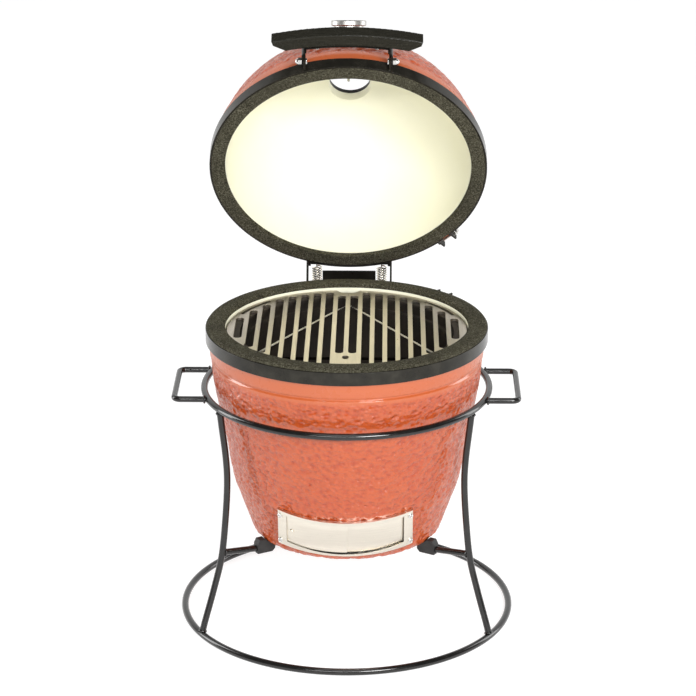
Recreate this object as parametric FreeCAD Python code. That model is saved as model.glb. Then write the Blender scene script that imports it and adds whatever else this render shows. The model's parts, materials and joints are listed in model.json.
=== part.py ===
import FreeCAD, Part
import math
import os

# Ceramic kettle charcoal grill on a three-legged rod stand, lid held open.
# Millimetres, +Z up, front is -Y, origin at the floor under the bowl's centre.

V = FreeCAD.Vector

# ---- driving sizes ----
ROD = 5.0                  # stand rod radius
BASE_RING_R = 239.0
UPPER_RING_R = 205.0
UPPER_RING_Z = 345.0
LEG_ANGLES = (-60.0, 60.0, 180.0)          # from the front, toward +X
LEG_PATH = ((239.0, 5.0), (234.4, 22.0), (218.3, 72.8), (205.4, 120.0), (198.6, 174.8),
            (194.8, 229.6), (196.2, 270.0), (202.0, 320.0), (204.9, 345.0))
CARRY_X = 245.0            # outer bar of a carry handle
CARRY_Y = 61.0
CARRY_ROD = 4.3

WALL_Z0 = 134.5            # straight conical part of the bowl wall
WALL_R0 = 137.2
WALL_Z1 = 209.3
WALL_R1 = 163.8
FLOOR_Z = 123.5
RIM_Z = 435.2              # top of the bowl's ceramic rim
RIM_R = 196.4
SEAT_R = 199.4             # ceramic radius under a steel band
BAND_R = 202.0
BAND_Z = (418.2, 437.0)
BOWL_IN_R = 173.8
GASKET_TOP = 442.5

LID_Z = 443.0              # the lid's opening plane when it is shut
HINGE_Y = 223.1
HINGE_Z = 418.3
OPEN_DEG = 61.56           # the lid stands this far open at rest
DOME_R = 195.4
DOME_H0 = 20.25
DOME_H = 202.5
DOME_POWER = 1.8
DOME_IN_R = 178.5
DOME_IN_H = 187.0
CHIMNEY_R = 31.4

RACK_R = 157.5             # corner of the wire rack before its bends
RACK_Z = 414.0

GRATE_R = 171.5
GRATE_Z = (428.0, 432.0)
SLOT_PITCH = 18.2
SLOT_W = 11.6

CHEEK_X = (58.0, 61.0)     # hinge cheek on the bowl
ARM_X = (61.4, 64.4)       # hinge arm on the lid
SPRING_X = 48.8
SPRING_Y = 249.0
SPRING_COIL_R = 6.9
SPRING_WIRE = 1.15
SPRING_LOW_Z = 388.0
SPRING_TOP_Z = 449.6

THERMO_DEG = 41.4          # dial's tilt above level when the lid is shut

nodes = {}


def add(name, shape):
    """Keep one named piece."""
    nodes[name] = shape


def fuse(shapes):
    """Weld several shapes into one solid."""
    body = shapes[0]
    for other in shapes[1:]:
        body = body.fuse(other)
    return body.removeSplitter()


def box(x0, x1, y0, y1, z0, z1):
    """Box between two corners."""
    return Part.makeBox(x1 - x0, y1 - y0, z1 - z0, V(x0, y0, z0))


def cyl(radius, start, end):
    """Round bar between two points."""
    a = V(*start)
    d = V(*end) - a
    return Part.makeCylinder(radius, d.Length, a, d)


def hexagon(flats, start, end):
    """Hexagonal bar between two points, with its width across flats."""
    a = V(*start)
    d = V(*end) - a
    r = flats / math.sqrt(3.0)
    ring = []
    for i in range(7):
        t = math.radians(60.0 * i)
        ring.append(V(r * math.cos(t), r * math.sin(t), 0))
    prism = Part.Face(Part.makePolygon(ring)).extrude(V(0, 0, d.Length))
    prism.Placement = FreeCAD.Placement(a, FreeCAD.Rotation(V(0, 0, 1), d))
    return prism


def ring(r0, r1, z0, z1):
    """Flat-sided ring about the Z axis."""
    outer = Part.makeCylinder(r1, z1 - z0, V(0, 0, z0))
    return outer.cut(Part.makeCylinder(r0, z1 - z0 + 2, V(0, 0, z0 - 1)))


def line(a, b):
    """Straight edge in the profile plane."""
    return Part.LineSegment(V(a[0], 0, a[1]), V(b[0], 0, b[1])).toShape()


def curve(points):
    """Smooth edge through points in the profile plane."""
    spline = Part.BSplineCurve()
    spline.interpolate([V(p[0], 0, p[1]) for p in points])
    return spline.toShape()


def turn(edges):
    """Solid of revolution about Z from a closed chain of profile edges."""
    face = Part.Face(Part.Wire(edges))
    return face.revolve(V(0, 0, 0), V(0, 0, 1), 360)


def turn_poly(points):
    """Solid of revolution from a closed polygon."""
    loop = list(points) + [points[0]]
    return turn([line(loop[i], loop[i + 1]) for i in range(len(points))])


def sweep(wire, radius):
    """Round rod along a wire."""
    start = wire.OrderedVertexes[0].Point
    tangent = wire.OrderedEdges[0].tangentAt(wire.OrderedEdges[0].FirstParameter)
    profile = Part.Wire(Part.makeCircle(radius, start, tangent))
    return wire.makePipeShell([profile], True, True)


def around(shape, angle):
    """Turn a piece made at the front (-Y) to an angle toward +X."""
    out = shape.copy()
    out.rotate(V(0, 0, 0), V(0, 0, 1), angle)
    return out


def mirror_x(shape):
    """The same piece on the other side."""
    return shape.mirror(V(0, 0, 0), V(1, 0, 0))


def opened(shape):
    """Swing a piece of the shut lid to its open rest place."""
    out = shape.copy()
    out.rotate(V(0, HINGE_Y, HINGE_Z), V(1, 0, 0), -OPEN_DEG)
    return out


# ---- stand ----

def base_ring():
    return Part.makeTorus(BASE_RING_R, ROD, V(0, 0, ROD), V(0, 0, 1))


def upper_ring():
    return Part.makeTorus(UPPER_RING_R, ROD, V(0, 0, UPPER_RING_Z), V(0, 0, 1))


def leg():
    """Curved leg at the front, cope-cut to both rings."""
    spline = Part.BSplineCurve()
    spline.interpolate([V(0, -p[0], p[1]) for p in LEG_PATH])
    rod = sweep(Part.Wire(spline.toShape()), ROD - 0.2)
    rod = rod.cut(base_ring()).cut(upper_ring())
    return max(rod.Solids, key=lambda s: s.Volume)


def strut():
    """Short rod from a leg inward to its rubber bumper."""
    rod = cyl(ROD - 0.4, (0, -204.5, 126.0), (0, -140.0, 119.6))
    return max(rod.cut(leg()).Solids, key=lambda s: s.Volume)


def bumper(bowl):
    """Rubber wedge pushed on the strut, under the bowl."""
    outline = [V(-6.5, -150, 113.8), V(-6.5, -150, 128), V(-6.5, -146.5, 134.5), V(-6.5, -122, 134.5),
               V(-6.5, -122, 118.5), V(-6.5, -126.5, 113.8), V(-6.5, -150, 113.8)]
    block = Part.Face(Part.makePolygon(outline)).extrude(V(13, 0, 0))
    block = block.cut(bowl).cut(cyl(ROD - 0.4, (0, -156.0, 121.2), (0, -140.0, 119.6)))
    return min(block.Solids, key=lambda s: s.CenterOfMass.z)


def carry_handle():
    """Rectangular rod loop on the +X side, welded to the upper ring."""
    z = UPPER_RING_Z
    r = 9.0
    k = r * (1 - math.sqrt(0.5))
    x0 = UPPER_RING_R - 10.0
    x1 = CARRY_X
    y = CARRY_Y
    edges = [
        Part.LineSegment(V(x0, y, z), V(x1 - r, y, z)).toShape(),
        Part.Arc(V(x1 - r, y, z), V(x1 - k, y - k, z), V(x1, y - r, z)).toShape(),
        Part.LineSegment(V(x1, y - r, z), V(x1, r - y, z)).toShape(),
        Part.Arc(V(x1, r - y, z), V(x1 - k, k - y, z), V(x1 - r, -y, z)).toShape(),
        Part.LineSegment(V(x1 - r, -y, z), V(x0, -y, z)).toShape(),
    ]
    rod = sweep(Part.Wire(edges), CARRY_ROD).cut(upper_ring())
    return max(rod.Solids, key=lambda s: s.Volume)


# ---- bowl ----

def wall_r(z):
    """Outer radius of the straight conical wall."""
    return WALL_R0 + (z - WALL_Z0) * (WALL_R1 - WALL_R0) / (WALL_Z1 - WALL_Z0)


def ceramic_bowl():
    """Hollow bowl with the draft opening at its front."""
    edges = [
        line((0, FLOOR_Z), (96, FLOOR_Z)),
        curve([(96, FLOOR_Z), (118, 125.3), (130, 128.6), (WALL_R0, WALL_Z0)]),
        line((WALL_R0, WALL_Z0), (WALL_R1, WALL_Z1)),
        curve([(WALL_R1, WALL_Z1), (169.6, 240), (176.4, 284.8), (184.9, 322.7),
               (191.6, 360), (194.4, 391.0)]),
        line((194.4, 391.0), (192.6, 393.0)),
        line((192.6, 393.0), (192.6, 395.6)),
        line((192.6, 395.6), (195.9, 397.6)),
        line((195.9, 397.6), (RIM_R, 417.0)),
        line((RIM_R, 417.0), (SEAT_R, 418.3)),
        line((SEAT_R, 418.3), (SEAT_R, RIM_Z)),
        line((SEAT_R, RIM_Z), (BOWL_IN_R, RIM_Z)),
        line((BOWL_IN_R, RIM_Z), (BOWL_IN_R, 400)),
        curve([(BOWL_IN_R, 400), (171.4, 360), (165.9, 322.7), (157.6, 284.8),
               (150.4, 240), (144.6, 209.3), (129.0, 168.0)]),
        curve([(129.0, 168.0), (124.0, 156.0), (115.0, 148.5), (100.0, 145.5)]),
        line((100.0, 145.5), (0, 145.5)),
        line((0, 145.5), (0, FLOOR_Z)),
    ]
    return turn(edges).cut(box(-60, 60, -175, -90, 152, 184))


def clamp_band(z0, z1, angle):
    """Steel band with turned-out lugs at its split, the split turned to an angle."""
    half = math.radians(3.0)
    band = ring(SEAT_R + 0.05, BAND_R, z0, z1)
    gap = BAND_R * math.sin(half)
    band = band.cut(box(-gap, gap, 150, 220, z0 - 1, z1 + 1))
    lugs = []
    for side in (-1, 1):
        x0, x1 = sorted((side * gap, side * (gap + 2.6)))
        lugs.append(box(x0, x1, 199.8, 214.5, z0 + 1, z1 - 1))
    out = fuse([band] + lugs)
    mid = (z0 + z1) / 2
    out = out.cut(cyl(3.0, (-30, 208.5, mid), (30, 208.5, mid)))
    out.rotate(V(0, 0, 0), V(0, 0, 1), -angle)
    return out


def clamp_bolt(z0, z1, angle):
    """Bolt and nut that pull a band's two lugs together."""
    gap = BAND_R * math.sin(math.radians(3.0)) + 2.6
    mid = (z0 + z1) / 2
    shank = cyl(2.98, (-gap, 208.5, mid), (gap + 8.0, 208.5, mid))
    head = hexagon(9.0, (-gap - 4.2, 208.5, mid), (-gap, 208.5, mid))
    nut = hexagon(9.0, (gap, 208.5, mid), (gap + 5.0, 208.5, mid))
    out = []
    for piece in (fuse([shank, head]), nut.cut(shank)):
        piece.rotate(V(0, 0, 0), V(0, 0, 1), -angle)
        out.append(piece)
    return Part.makeCompound(out)


def bowl_gasket():
    """Crowned felt ring on the bowl's rim."""
    return turn([
        line((174.0, RIM_Z), (SEAT_R - 0.2, RIM_Z)),
        line((SEAT_R - 0.2, RIM_Z), (SEAT_R - 0.2, 437.3)),
        line((SEAT_R - 0.2, 437.3), (201.2, 437.5)),
        curve([(201.2, 437.5), (199.5, 439.8), (194.0, 441.9), (186.0, GASKET_TOP),
               (178.5, 442.2), (174.6, 440.6), (174.0, 438.4)]),
        line((174.0, 438.4), (174.0, RIM_Z)),
    ])


def firebox():
    """Ceramic liner with a floor, an inner ledge, a front air mouth and side air holes."""
    body = turn_poly([(0, 145.5), (99, 145.5), (118, 160), (138, 215), (148, 265), (159, 325.5),
                      (147.5, 325.5), (137, 268), (128.5, 216.5), (112, 216.5), (112, 207.5),
                      (104, 178), (90, 156), (0, 156)])
    body = body.cut(box(-46, 46, -150, -60, 163, 192))
    for i in range(8):
        a = 22.5 + 45.0 * i
        if abs(a - 180) < 40:
            continue
        hole = cyl(7.0, (0, 90, 184), (0, 160, 184))
        hole.rotate(V(0, 0, 0), V(0, 0, 1), a)
        body = body.cut(hole)
    return body


def fire_ring():
    """Ceramic ring on the firebox that carries the cooking grate and the wire rack."""
    return turn_poly([(147.5, 325.6), (159.5, 325.6), (164.5, 362), (166.5, 427.6), (152.8, 427.6),
                      (152.8, RACK_Z - 2.02), (147.0, RACK_Z - 2.02), (147.0, 400), (150, 366)])


def wire_rack():
    """Triangle of wire that lies on the fire ring's ledge, under the cooking grate."""
    wire = 2.0
    bend = 8.0
    inset = RACK_R - 2 * bend
    half = inset * math.sqrt(3) / 2
    side = cyl(wire, (-half, -RACK_R / 2, RACK_Z), (half, -RACK_R / 2, RACK_Z))
    end = Part.Face(Part.Wire(Part.makeCircle(wire, V(half, -RACK_R / 2, RACK_Z), V(1, 0, 0))))
    corner = end.revolve(V(half, -inset / 2, RACK_Z), V(0, 0, 1), 120)
    return fuse([around(piece, angle) for angle in (0, 120, 240) for piece in (side, corner)])


def charcoal_grate():
    """Cast-iron grate with round holes and cross ribs on the firebox ledge."""
    plate = Part.makeCylinder(124.0, 7.0, V(0, 0, 217.0))
    holes = []
    for row in range(-5, 6):
        for col in range(-5, 6):
            x = col * 20.0 + (10.0 if row % 2 else 0.0)
            y = row * 17.5
            if math.hypot(x, y) < 108.0:
                holes.append(Part.makeCylinder(6.6, 9.0, V(x, y, 216.0)))
    return plate.cut(Part.makeCompound(holes))


# ---- cooking grate ----

def slot(x, y0, y1, width):
    """Upright through-slot with round ends, along Y."""
    r = width / 2
    z0 = GRATE_Z[0] - 1
    tall = GRATE_Z[1] - GRATE_Z[0] + 2
    return fuse([box(x - r, x + r, y0 + r, y1 - r, z0, z0 + tall),
                 Part.makeCylinder(r, tall, V(x, y0 + r, z0)),
                 Part.makeCylinder(r, tall, V(x, y1 - r, z0))])


def rim_slot(side):
    """Narrow curved slot near the rear rim."""
    z0 = GRATE_Z[0] - 1
    arc = ring(161.6, 167.2, z0, z0 + 6)
    a0 = math.radians(21.0)
    a1 = math.radians(46.0)
    wedge = [V(0, 0, z0), V(300 * math.cos(a0), 300 * math.sin(a0), z0),
             V(300 * math.cos(a1), 300 * math.sin(a1), z0), V(0, 0, z0)]
    cutter = arc.common(Part.Face(Part.makePolygon(wedge)).extrude(V(0, 0, 6)))
    if side < 0:
        cutter = mirror_x(cutter)
    return cutter


def cooking_grate():
    """Laser-cut stainless plate, bars running front to back."""
    z0 = GRATE_Z[0]
    plate = Part.makeCylinder(GRATE_R, GRATE_Z[1] - z0, V(0, 0, z0))
    cuts = []
    for i in range(9):
        x = SLOT_PITCH * (i + 0.5)
        reach = math.sqrt((GRATE_R - 9.0) ** 2 - x * x)
        front = -reach
        rear = reach if i < 6 else math.sqrt((GRATE_R - 15.0) ** 2 - x * x)
        if i == 0:
            front = -106.0
            rear = 146.0
        if i in (6, 7):
            front += 6.0
        if i == 8:
            front = -44.0
            rear = 44.0
        for side in (-1, 1):
            cuts.append(slot(side * x, front, rear, SLOT_W))
    for side in (-1, 1):
        cuts.append(rim_slot(side))
        notch = slot(side * 140.0, -140.0, -66.0, 7.0)
        cuts.append(notch)
    cuts.append(slot(0, -130.0, -116.0, 9.0))
    rear_notch = [V(-20, 175, z0 - 1), V(-11, 160, z0 - 1), V(11, 160, z0 - 1), V(20, 175, z0 - 1),
                  V(-20, 175, z0 - 1)]
    cuts.append(Part.Face(Part.makePolygon(rear_notch)).extrude(V(0, 0, 6)))
    for cutter in cuts:
        plate = plate.cut(cutter)
    return max(plate.Solids, key=lambda s: s.Volume)


# ---- draft door ----

PLATE_R = 168.0            # the draft plate is rolled to this radius
PLATE_Z = 166.5            # its axis leans with the wall at this height
PLATE_TILT = math.atan((WALL_R1 - WALL_R0) / (WALL_Z1 - WALL_Z0))


def on_plate(shape):
    """Lean a piece built about an upright axis so that it lies on the bowl's wall."""
    out = shape.copy()
    out.rotate(V(0, 0, 0), V(1, 0, 0), math.degrees(PLATE_TILT))
    out.translate(V(0, -wall_r(PLATE_Z) + PLATE_R * math.cos(PLATE_TILT),
                    PLATE_Z + PLATE_R * math.sin(PLATE_TILT)))
    return out


def rolled(out0, out1, x0, x1, t0, t1):
    """Rolled sheet between two offsets, two sides and two heights."""
    return ring(PLATE_R + out0, PLATE_R + out1, t0, t1).common(box(x0, x1, -200, 0, t0 - 1, t1 + 1))


def draft_frame(bowl):
    """Rolled frame on the bowl with a channel that holds the sliding door."""
    body = rolled(-5.0, 4.8, -95.5, 95.5, -27.0, 36.0)
    body = body.cut(rolled(-6.0, 3.95, -86.0, 86.0, -24.8, 33.0))
    edges = [
        Part.Arc(V(-83, 0, -18.5), V(0, 0, -23.5), V(83, 0, -18.5)).toShape(),
        line((83, -18.5), (83, 30)),
        line((83, 30), (-83, 30)),
        line((-83, 30), (-83, -18.5)),
    ]
    window = Part.Face(Part.Wire(edges)).extrude(V(0, -200, 0))
    body = on_plate(body.cut(window)).cut(bowl)
    return max(body.Solids, key=lambda s: s.Volume)


def draft_fixed_panel():
    """Panel behind the door that closes the right half."""
    return on_plate(rolled(0.75, 1.95, -5.0, 86.0, -20.8, 32.6))


def draft_door():
    """Sliding left half with its pull tab."""
    sheet = rolled(2.35, 3.65, -84.0, 3.0, -20.8, 32.6)
    x = -76.5
    t = 3.0
    y = -math.sqrt((PLATE_R + 3.0) ** 2 - x * x)
    outer = cyl(3.8, (x, y + 1.0, t), (x, y - 3.4, t))
    inner = cyl(2.2, (x, y + 3.0, t - 0.5), (x, y - 6.0, t - 0.5))
    outer = outer.cut(inner).cut(box(x - 6, x + 6, y - 9, y + 9, t - 8.5, t - 2.3))
    outer.rotate(V(x, y, t), V(0, 0, 1), -26.6)
    outer = outer.cut(ring(PLATE_R - 10, PLATE_R + 2.35, t - 12, t + 12))
    return on_plate(fuse([sheet, outer]))


def plate_screw(x, t, grow=0.0):
    """Pan-head screw square to the plate."""
    out = [Part.makeCylinder(1.5 + grow, 13.9, V(0, 0, -8.7))]
    if grow == 0.0:
        head = Part.makeCylinder(4.0, 1.7, V(0, 0, 4.82))
        head = head.makeFillet(1.0, [e for e in head.Edges if e.BoundBox.ZMin > 6.4])
        cross = [box(-2.2, 2.2, -0.45, 0.45, 5.9, 7.6), box(-0.45, 0.45, -2.2, 2.2, 5.9, 7.6)]
        out.append(head.cut(cross[0]).cut(cross[1]))
    shape = fuse(out)
    shape.rotate(V(0, 0, 0), V(1, 0, 0), 90.0)
    shape.translate(V(0, -PLATE_R, t))
    shape.rotate(V(0, 0, 0), V(0, 0, 1), math.degrees(math.asin(x / PLATE_R)))
    return on_plate(shape)


SCREW_SPOTS = ((-89.6, 27.0), (89.6, 27.0), (-89.6, -20.0), (89.6, -20.0))


# ---- hinge ----

def hull_plate(x0, x1, spots):
    """Plate between two x faces round a chain of (y, z, radius) bosses."""
    parts = []
    for y, z, r in spots:
        parts.append(cyl(r, (x0, y, z), (x1, y, z)))
    for i in range(len(spots)):
        ya, za, ra = spots[i]
        yb, zb, rb = spots[(i + 1) % len(spots)]
        d = math.hypot(yb - ya, zb - za)
        ny = -(zb - za) / d
        nz = (yb - ya) / d
        quad = [V(x0, ya + ny * ra, za + nz * ra), V(x0, yb + ny * rb, zb + nz * rb),
                V(x0, yb - ny * rb, zb - nz * rb), V(x0, ya - ny * ra, za - nz * ra)]
        quad.append(quad[0])
        parts.append(Part.Face(Part.makePolygon(quad)).extrude(V(x1 - x0, 0, 0)))
    middle = [V(x0, y, z) for y, z, r in spots]
    middle.append(middle[0])
    parts.append(Part.Face(Part.makePolygon(middle)).extrude(V(x1 - x0, 0, 0)))
    return fuse(parts)


def saddle(z0, z1):
    """Curved plate welded to the rear of a band."""
    plate = ring(BAND_R + 0.02, BAND_R + 3.0, z0, z1)
    return plate.common(box(-61.0, 61.0, 100, 230, z0 - 1, z1 + 1))


def hinge_base():
    """Welded bracket on the bowl's band: saddle, web, cheeks and spring pins."""
    parts = [saddle(404.0, 436.6)]
    parts.append(box(-58.5, 58.5, 201.0, 230.6, 404.0, 407.0))
    parts.append(box(-40.0, 40.0, 227.6, 230.6, 404.0, 443.6))
    for side in (-1, 1):
        x0, x1 = sorted((side * CHEEK_X[0], side * CHEEK_X[1]))
        parts.append(hull_plate(x0, x1, ((201.5, 411.5, 7.0), (201.5, 428.5, 7.0),
                                         (HINGE_Y, HINGE_Z, 9.0), (SPRING_Y, SPRING_LOW_Z, 7.0))))
        a, b = sorted((side * 41.0, side * CHEEK_X[0]))
        parts.append(cyl(2.4, (a, SPRING_Y, SPRING_LOW_Z), (b, SPRING_Y, SPRING_LOW_Z)))
    body = fuse(parts)
    body = body.cut(Part.makeCylinder(BAND_R + 0.02, 60, V(0, 0, 390)))
    return body.cut(cyl(4.0, (-80, HINGE_Y, HINGE_Z), (80, HINGE_Y, HINGE_Z)))


def hinge_bolt(side):
    """Pivot bolt through a cheek and an arm."""
    shank = cyl(4.0, (side * 57.9, HINGE_Y, HINGE_Z), (side * 70.0, HINGE_Y, HINGE_Z))
    head = hexagon(12.0, (side * 53.6, HINGE_Y, HINGE_Z), (side * 57.95, HINGE_Y, HINGE_Z))
    return fuse([shank, head])


def acorn_nut(x, y, z, side, flats, bore):
    """Domed nut that opens toward the middle, its face at x."""
    body = hexagon(flats, (x, y, z), (x + side * flats * 0.5, y, z))
    dome = Part.makeSphere(flats * 0.42, V(x + side * flats * 0.5, y, z))
    out = fuse([body, dome])
    out = out.cut(box(*sorted((x, x - side * 20)), y - 20, y + 20, z - 20, z + 20))
    return out.cut(cyl(bore, (x - side * 1.0, y, z), (x + side * flats * 0.55, y, z)))


def hinge_spring(side):
    """Extension spring with a loop at each end."""
    x = side * SPRING_X
    r = SPRING_COIL_R
    z0 = SPRING_LOW_Z + 6.0
    turns = 13
    pitch = (SPRING_TOP_Z - 6.0 - z0) / turns
    helix = Part.makeHelix(pitch, pitch * turns, r)
    profile = Part.Wire(Part.makeCircle(SPRING_WIRE, V(r, 0, 0), V(0, 1, 0)))
    coil = Part.Wire(helix.Edges).makePipeShell([profile], True, True)
    coil.rotate(V(0, 0, 0), V(0, 0, 1), 90.0)
    coil.translate(V(x, SPRING_Y, z0))
    parts = [coil]
    for end, near in ((SPRING_LOW_Z, z0), (SPRING_TOP_Z, SPRING_TOP_Z - 6.0)):
        loop = Part.makeTorus(r, SPRING_WIRE, V(x, SPRING_Y, end), V(1, 0, 0))
        parts.append(loop)
        low, high = sorted((end, near))
        parts.append(cyl(SPRING_WIRE, (x, SPRING_Y + r, low), (x, SPRING_Y + r, high)))
    return fuse(parts)


def lid_spot(y, z):
    """Where a point of the open lid lies when the lid is shut."""
    a = math.radians(OPEN_DEG)
    dy = y - HINGE_Y
    dz = z - HINGE_Z
    return (HINGE_Y + dy * math.cos(a) - dz * math.sin(a),
            HINGE_Z + dy * math.sin(a) + dz * math.cos(a))


def hinge_lid_bracket():
    """Welded bracket on the lid's band: saddle, two arms and spring pins."""
    pin_y, pin_z = lid_spot(SPRING_Y, SPRING_TOP_Z)
    parts = [saddle(LID_Z + 1.4, LID_Z + 19.0)]
    for side in (-1, 1):
        x0, x1 = sorted((side * ARM_X[0], side * ARM_X[1]))
        parts.append(hull_plate(x0, x1, ((201.5, LID_Z + 8.5, 6.5), (201.5, LID_Z + 12.5, 6.5),
                                         (pin_y, pin_z, 6.5), (HINGE_Y, HINGE_Z, 9.0))))
        a, b = sorted((side * 41.0, side * ARM_X[0]))
        parts.append(cyl(2.4, (a, pin_y, pin_z), (b, pin_y, pin_z)))
        c0, c1 = sorted((side * 58.0, side * ARM_X[0]))
        parts.append(box(c0, c1, 192.0, 203.5, LID_Z + 2.0, LID_Z + 18.0))
    body = fuse(parts)
    body = body.cut(Part.makeCylinder(BAND_R + 0.02, 60, V(0, 0, LID_Z - 5)))
    return body.cut(cyl(4.07, (-80, HINGE_Y, HINGE_Z), (80, HINGE_Y, HINGE_Z)))


# ---- lid (built shut, then swung open) ----

def dome_r(h):
    """Outer radius of the dome at a height above its opening plane."""
    t = (h - DOME_H0) / (DOME_H - DOME_H0)
    return DOME_R * (1 - t ** DOME_POWER) ** (1 / DOME_POWER)


def dome_spot(angle):
    """Point of the outer dome whose normal stands at an angle above level."""
    c = math.cos(math.radians(angle))
    s = math.sin(math.radians(angle))
    best = max((dome_r(h) * c + h * s, h) for h in [DOME_H0 + 0.2 * i for i in range(1, 900)])
    return dome_r(best[1]), best[1]


def ceramic_dome():
    """Hollow dome with a chimney hole and a collar for the top vent."""
    outer = [(dome_r(h), LID_Z + h) for h in
             [DOME_H0 + 23, 60, 80, 100, 120, 140, 155, 168, 178, 186, 192, 196.2]]
    inner = []
    for h in (183.2, 178, 170, 158, 140, 120, 95, 70, 45, 20, 6.0):
        t = (h - 4.0) / (DOME_IN_H - 4.0)
        r = DOME_IN_R * (1 - t ** 2.0) ** 0.5
        inner.append((r, LID_Z + h))
    top = outer[-1]
    edges = [
        line((inner[-1][0], LID_Z + 6.0), (SEAT_R, LID_Z + 6.0)),
        line((SEAT_R, LID_Z + 6.0), (SEAT_R, LID_Z + 18.9)),
        line((SEAT_R, LID_Z + 18.9), (RIM_R, LID_Z + 20.3)),
        line((RIM_R, LID_Z + 20.3), (195.6, LID_Z + 39.6)),
        line((195.6, LID_Z + 39.6), (outer[0][0] - 1.2, LID_Z + 41.4)),
        line((outer[0][0] - 1.2, LID_Z + 41.4), outer[0]),
        curve(outer),
        line(top, (top[0], LID_Z + 199.5)),
        line((top[0], LID_Z + 199.5), (CHIMNEY_R, LID_Z + 199.5)),
        line((CHIMNEY_R, LID_Z + 199.5), (CHIMNEY_R, LID_Z + 183.2)),
        line((CHIMNEY_R, LID_Z + 183.2), inner[0]),
        curve(inner),
    ]
    return turn(edges)


def dome_gasket():
    """Felt ring under the dome's rim."""
    z = LID_Z
    return turn([
        line((179.3, z + 1.2), (180.5, z)),
        line((180.5, z), (198.2, z)),
        line((198.2, z), (SEAT_R - 0.2, z + 0.8)),
        line((SEAT_R - 0.2, z + 0.8), (SEAT_R - 0.2, z + 5.98)),
        line((SEAT_R - 0.2, z + 5.98), (179.3, z + 5.98)),
        line((179.3, z + 5.98), (179.3, z + 1.2)),
    ])


def dome_band(angle):
    """Lid band with its clamp lugs and the two welded ears for the lift handle."""
    z0 = LID_Z + 0.9
    z1 = LID_Z + 19.0
    parts = [clamp_band(z0, z1, angle)]
    for side in (-1, 1):
        x0, x1 = sorted((side * 58.5, side * 61.5))
        ear = box(x0, x1, -211.0, -192.8, LID_Z + 3.0, LID_Z + 17.5)
        parts.append(ear.cut(cyl(3.0, (x0 - 1, -203.5, LID_Z + 10), (x1 + 1, -203.5, LID_Z + 10))))
    return fuse(parts).cut(Part.makeCylinder(SEAT_R + 0.05, 60, V(0, 0, LID_Z - 5)))


def handle_board():
    """Bowed lift handle with cut-back ends."""
    z0 = LID_Z + 11.9
    board = [
        Part.Arc(V(-106, -237.4, z0), V(0, -250.4, z0), V(106, -237.4, z0)).toShape(),
        Part.LineSegment(V(106, -237.4, z0), V(104, -230.0, z0)).toShape(),
        Part.LineSegment(V(104, -230.0, z0), V(86, -220.6, z0)).toShape(),
        Part.Arc(V(86, -220.6, z0), V(0, -230.7, z0), V(-86, -220.6, z0)).toShape(),
        Part.LineSegment(V(-86, -220.6, z0), V(-104, -230.0, z0)).toShape(),
        Part.LineSegment(V(-104, -230.0, z0), V(-106, -237.4, z0)).toShape(),
    ]
    body = Part.Face(Part.Wire(board)).extrude(V(0, 0, 19.0))
    edges = [e for e in body.Edges if e.BoundBox.ZLength < 0.01]
    body = body.makeFillet(1.4, edges)
    for side in (-1, 1):
        body = body.cut(cyl(2.0, (side * 42, -210, LID_Z + 18), (side * 42, -239, LID_Z + 18)))
    return body


def handle_bracket():
    """Strap bent round behind the board and back to the band's ears."""
    z = LID_Z + 15.0
    edges = [
        Part.LineSegment(V(62.75, -196.5, z), V(62.75, -215.6, z)).toShape(),
        Part.Arc(V(62.75, -215.6, z), V(60.9, -220.6, z), V(56.3, -223.55, z)).toShape(),
        Part.Arc(V(56.3, -223.55, z), V(0, -228.2, z), V(-56.3, -223.55, z)).toShape(),
        Part.Arc(V(-56.3, -223.55, z), V(-60.9, -220.6, z), V(-62.75, -215.6, z)).toShape(),
        Part.LineSegment(V(-62.75, -215.6, z), V(-62.75, -196.5, z)).toShape(),
    ]
    corners = [V(61.55, -196.5, z - 9), V(63.95, -196.5, z - 9), V(63.95, -196.5, z + 6),
               V(61.55, -196.5, z + 6), V(61.55, -196.5, z - 9)]
    strap = Part.Wire(edges).makePipeShell([Part.makePolygon(corners)], True, False)
    strap = strap.cut(handle_board())
    strap = strap.cut(box(-57, 57, -240, -219, LID_Z + 5, LID_Z + 13.4))
    strap = strap.cut(cyl(3.0, (-80, -203.5, LID_Z + 10), (80, -203.5, LID_Z + 10)))
    for side in (-1, 1):
        strap = strap.cut(cyl(2.0, (side * 42, -210, LID_Z + 18), (side * 42, -239, LID_Z + 18)))
    return max(strap.Solids, key=lambda s: s.Volume)


def handle_bolts():
    """Two bolts that hold the strap to the band's ears."""
    out = []
    for side in (-1, 1):
        shank = cyl(2.98, (side * 58.4, -203.5, LID_Z + 10), (side * 67.0, -203.5, LID_Z + 10))
        head = hexagon(9.0, (side * 56.4, -203.5, LID_Z + 10), (side * 58.45, -203.5, LID_Z + 10))
        out.append(fuse([shank, head]))
    return Part.makeCompound(out)


def handle_screws():
    """Two screws through the strap into the board."""
    out = []
    for side in (-1, 1):
        x = side * 42.0
        y = -228.2 + 2.9
        shank = cyl(1.98, (x, y + 2.5, LID_Z + 18), (x, -238.0, LID_Z + 18))
        head = cyl(3.8, (x, y + 3.15, LID_Z + 18), (x, y + 1.45, LID_Z + 18))
        out.append(fuse([shank, head]))
    return Part.makeCompound(out)


# ---- thermometer, built upright about its own axis ----

def thermo_place(shape):
    """Set a thermometer piece square to the dome, then open the lid."""
    r, h = dome_spot(THERMO_DEG)
    out = shape.copy()
    out.rotate(V(0, 0, 0), V(1, 0, 0), 90.0 - THERMO_DEG)
    out.translate(V(0, -r, LID_Z + h))
    return opened(out)


def thermo_hole():
    """Hole for the thermometer shank, in the shut lid."""
    r, h = dome_spot(THERMO_DEG)
    hole = Part.makeCylinder(5.6, 60, V(0, 0, -40))
    hole.rotate(V(0, 0, 0), V(1, 0, 0), 90.0 - THERMO_DEG)
    hole.translate(V(0, -r, LID_Z + h))
    return hole


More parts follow.
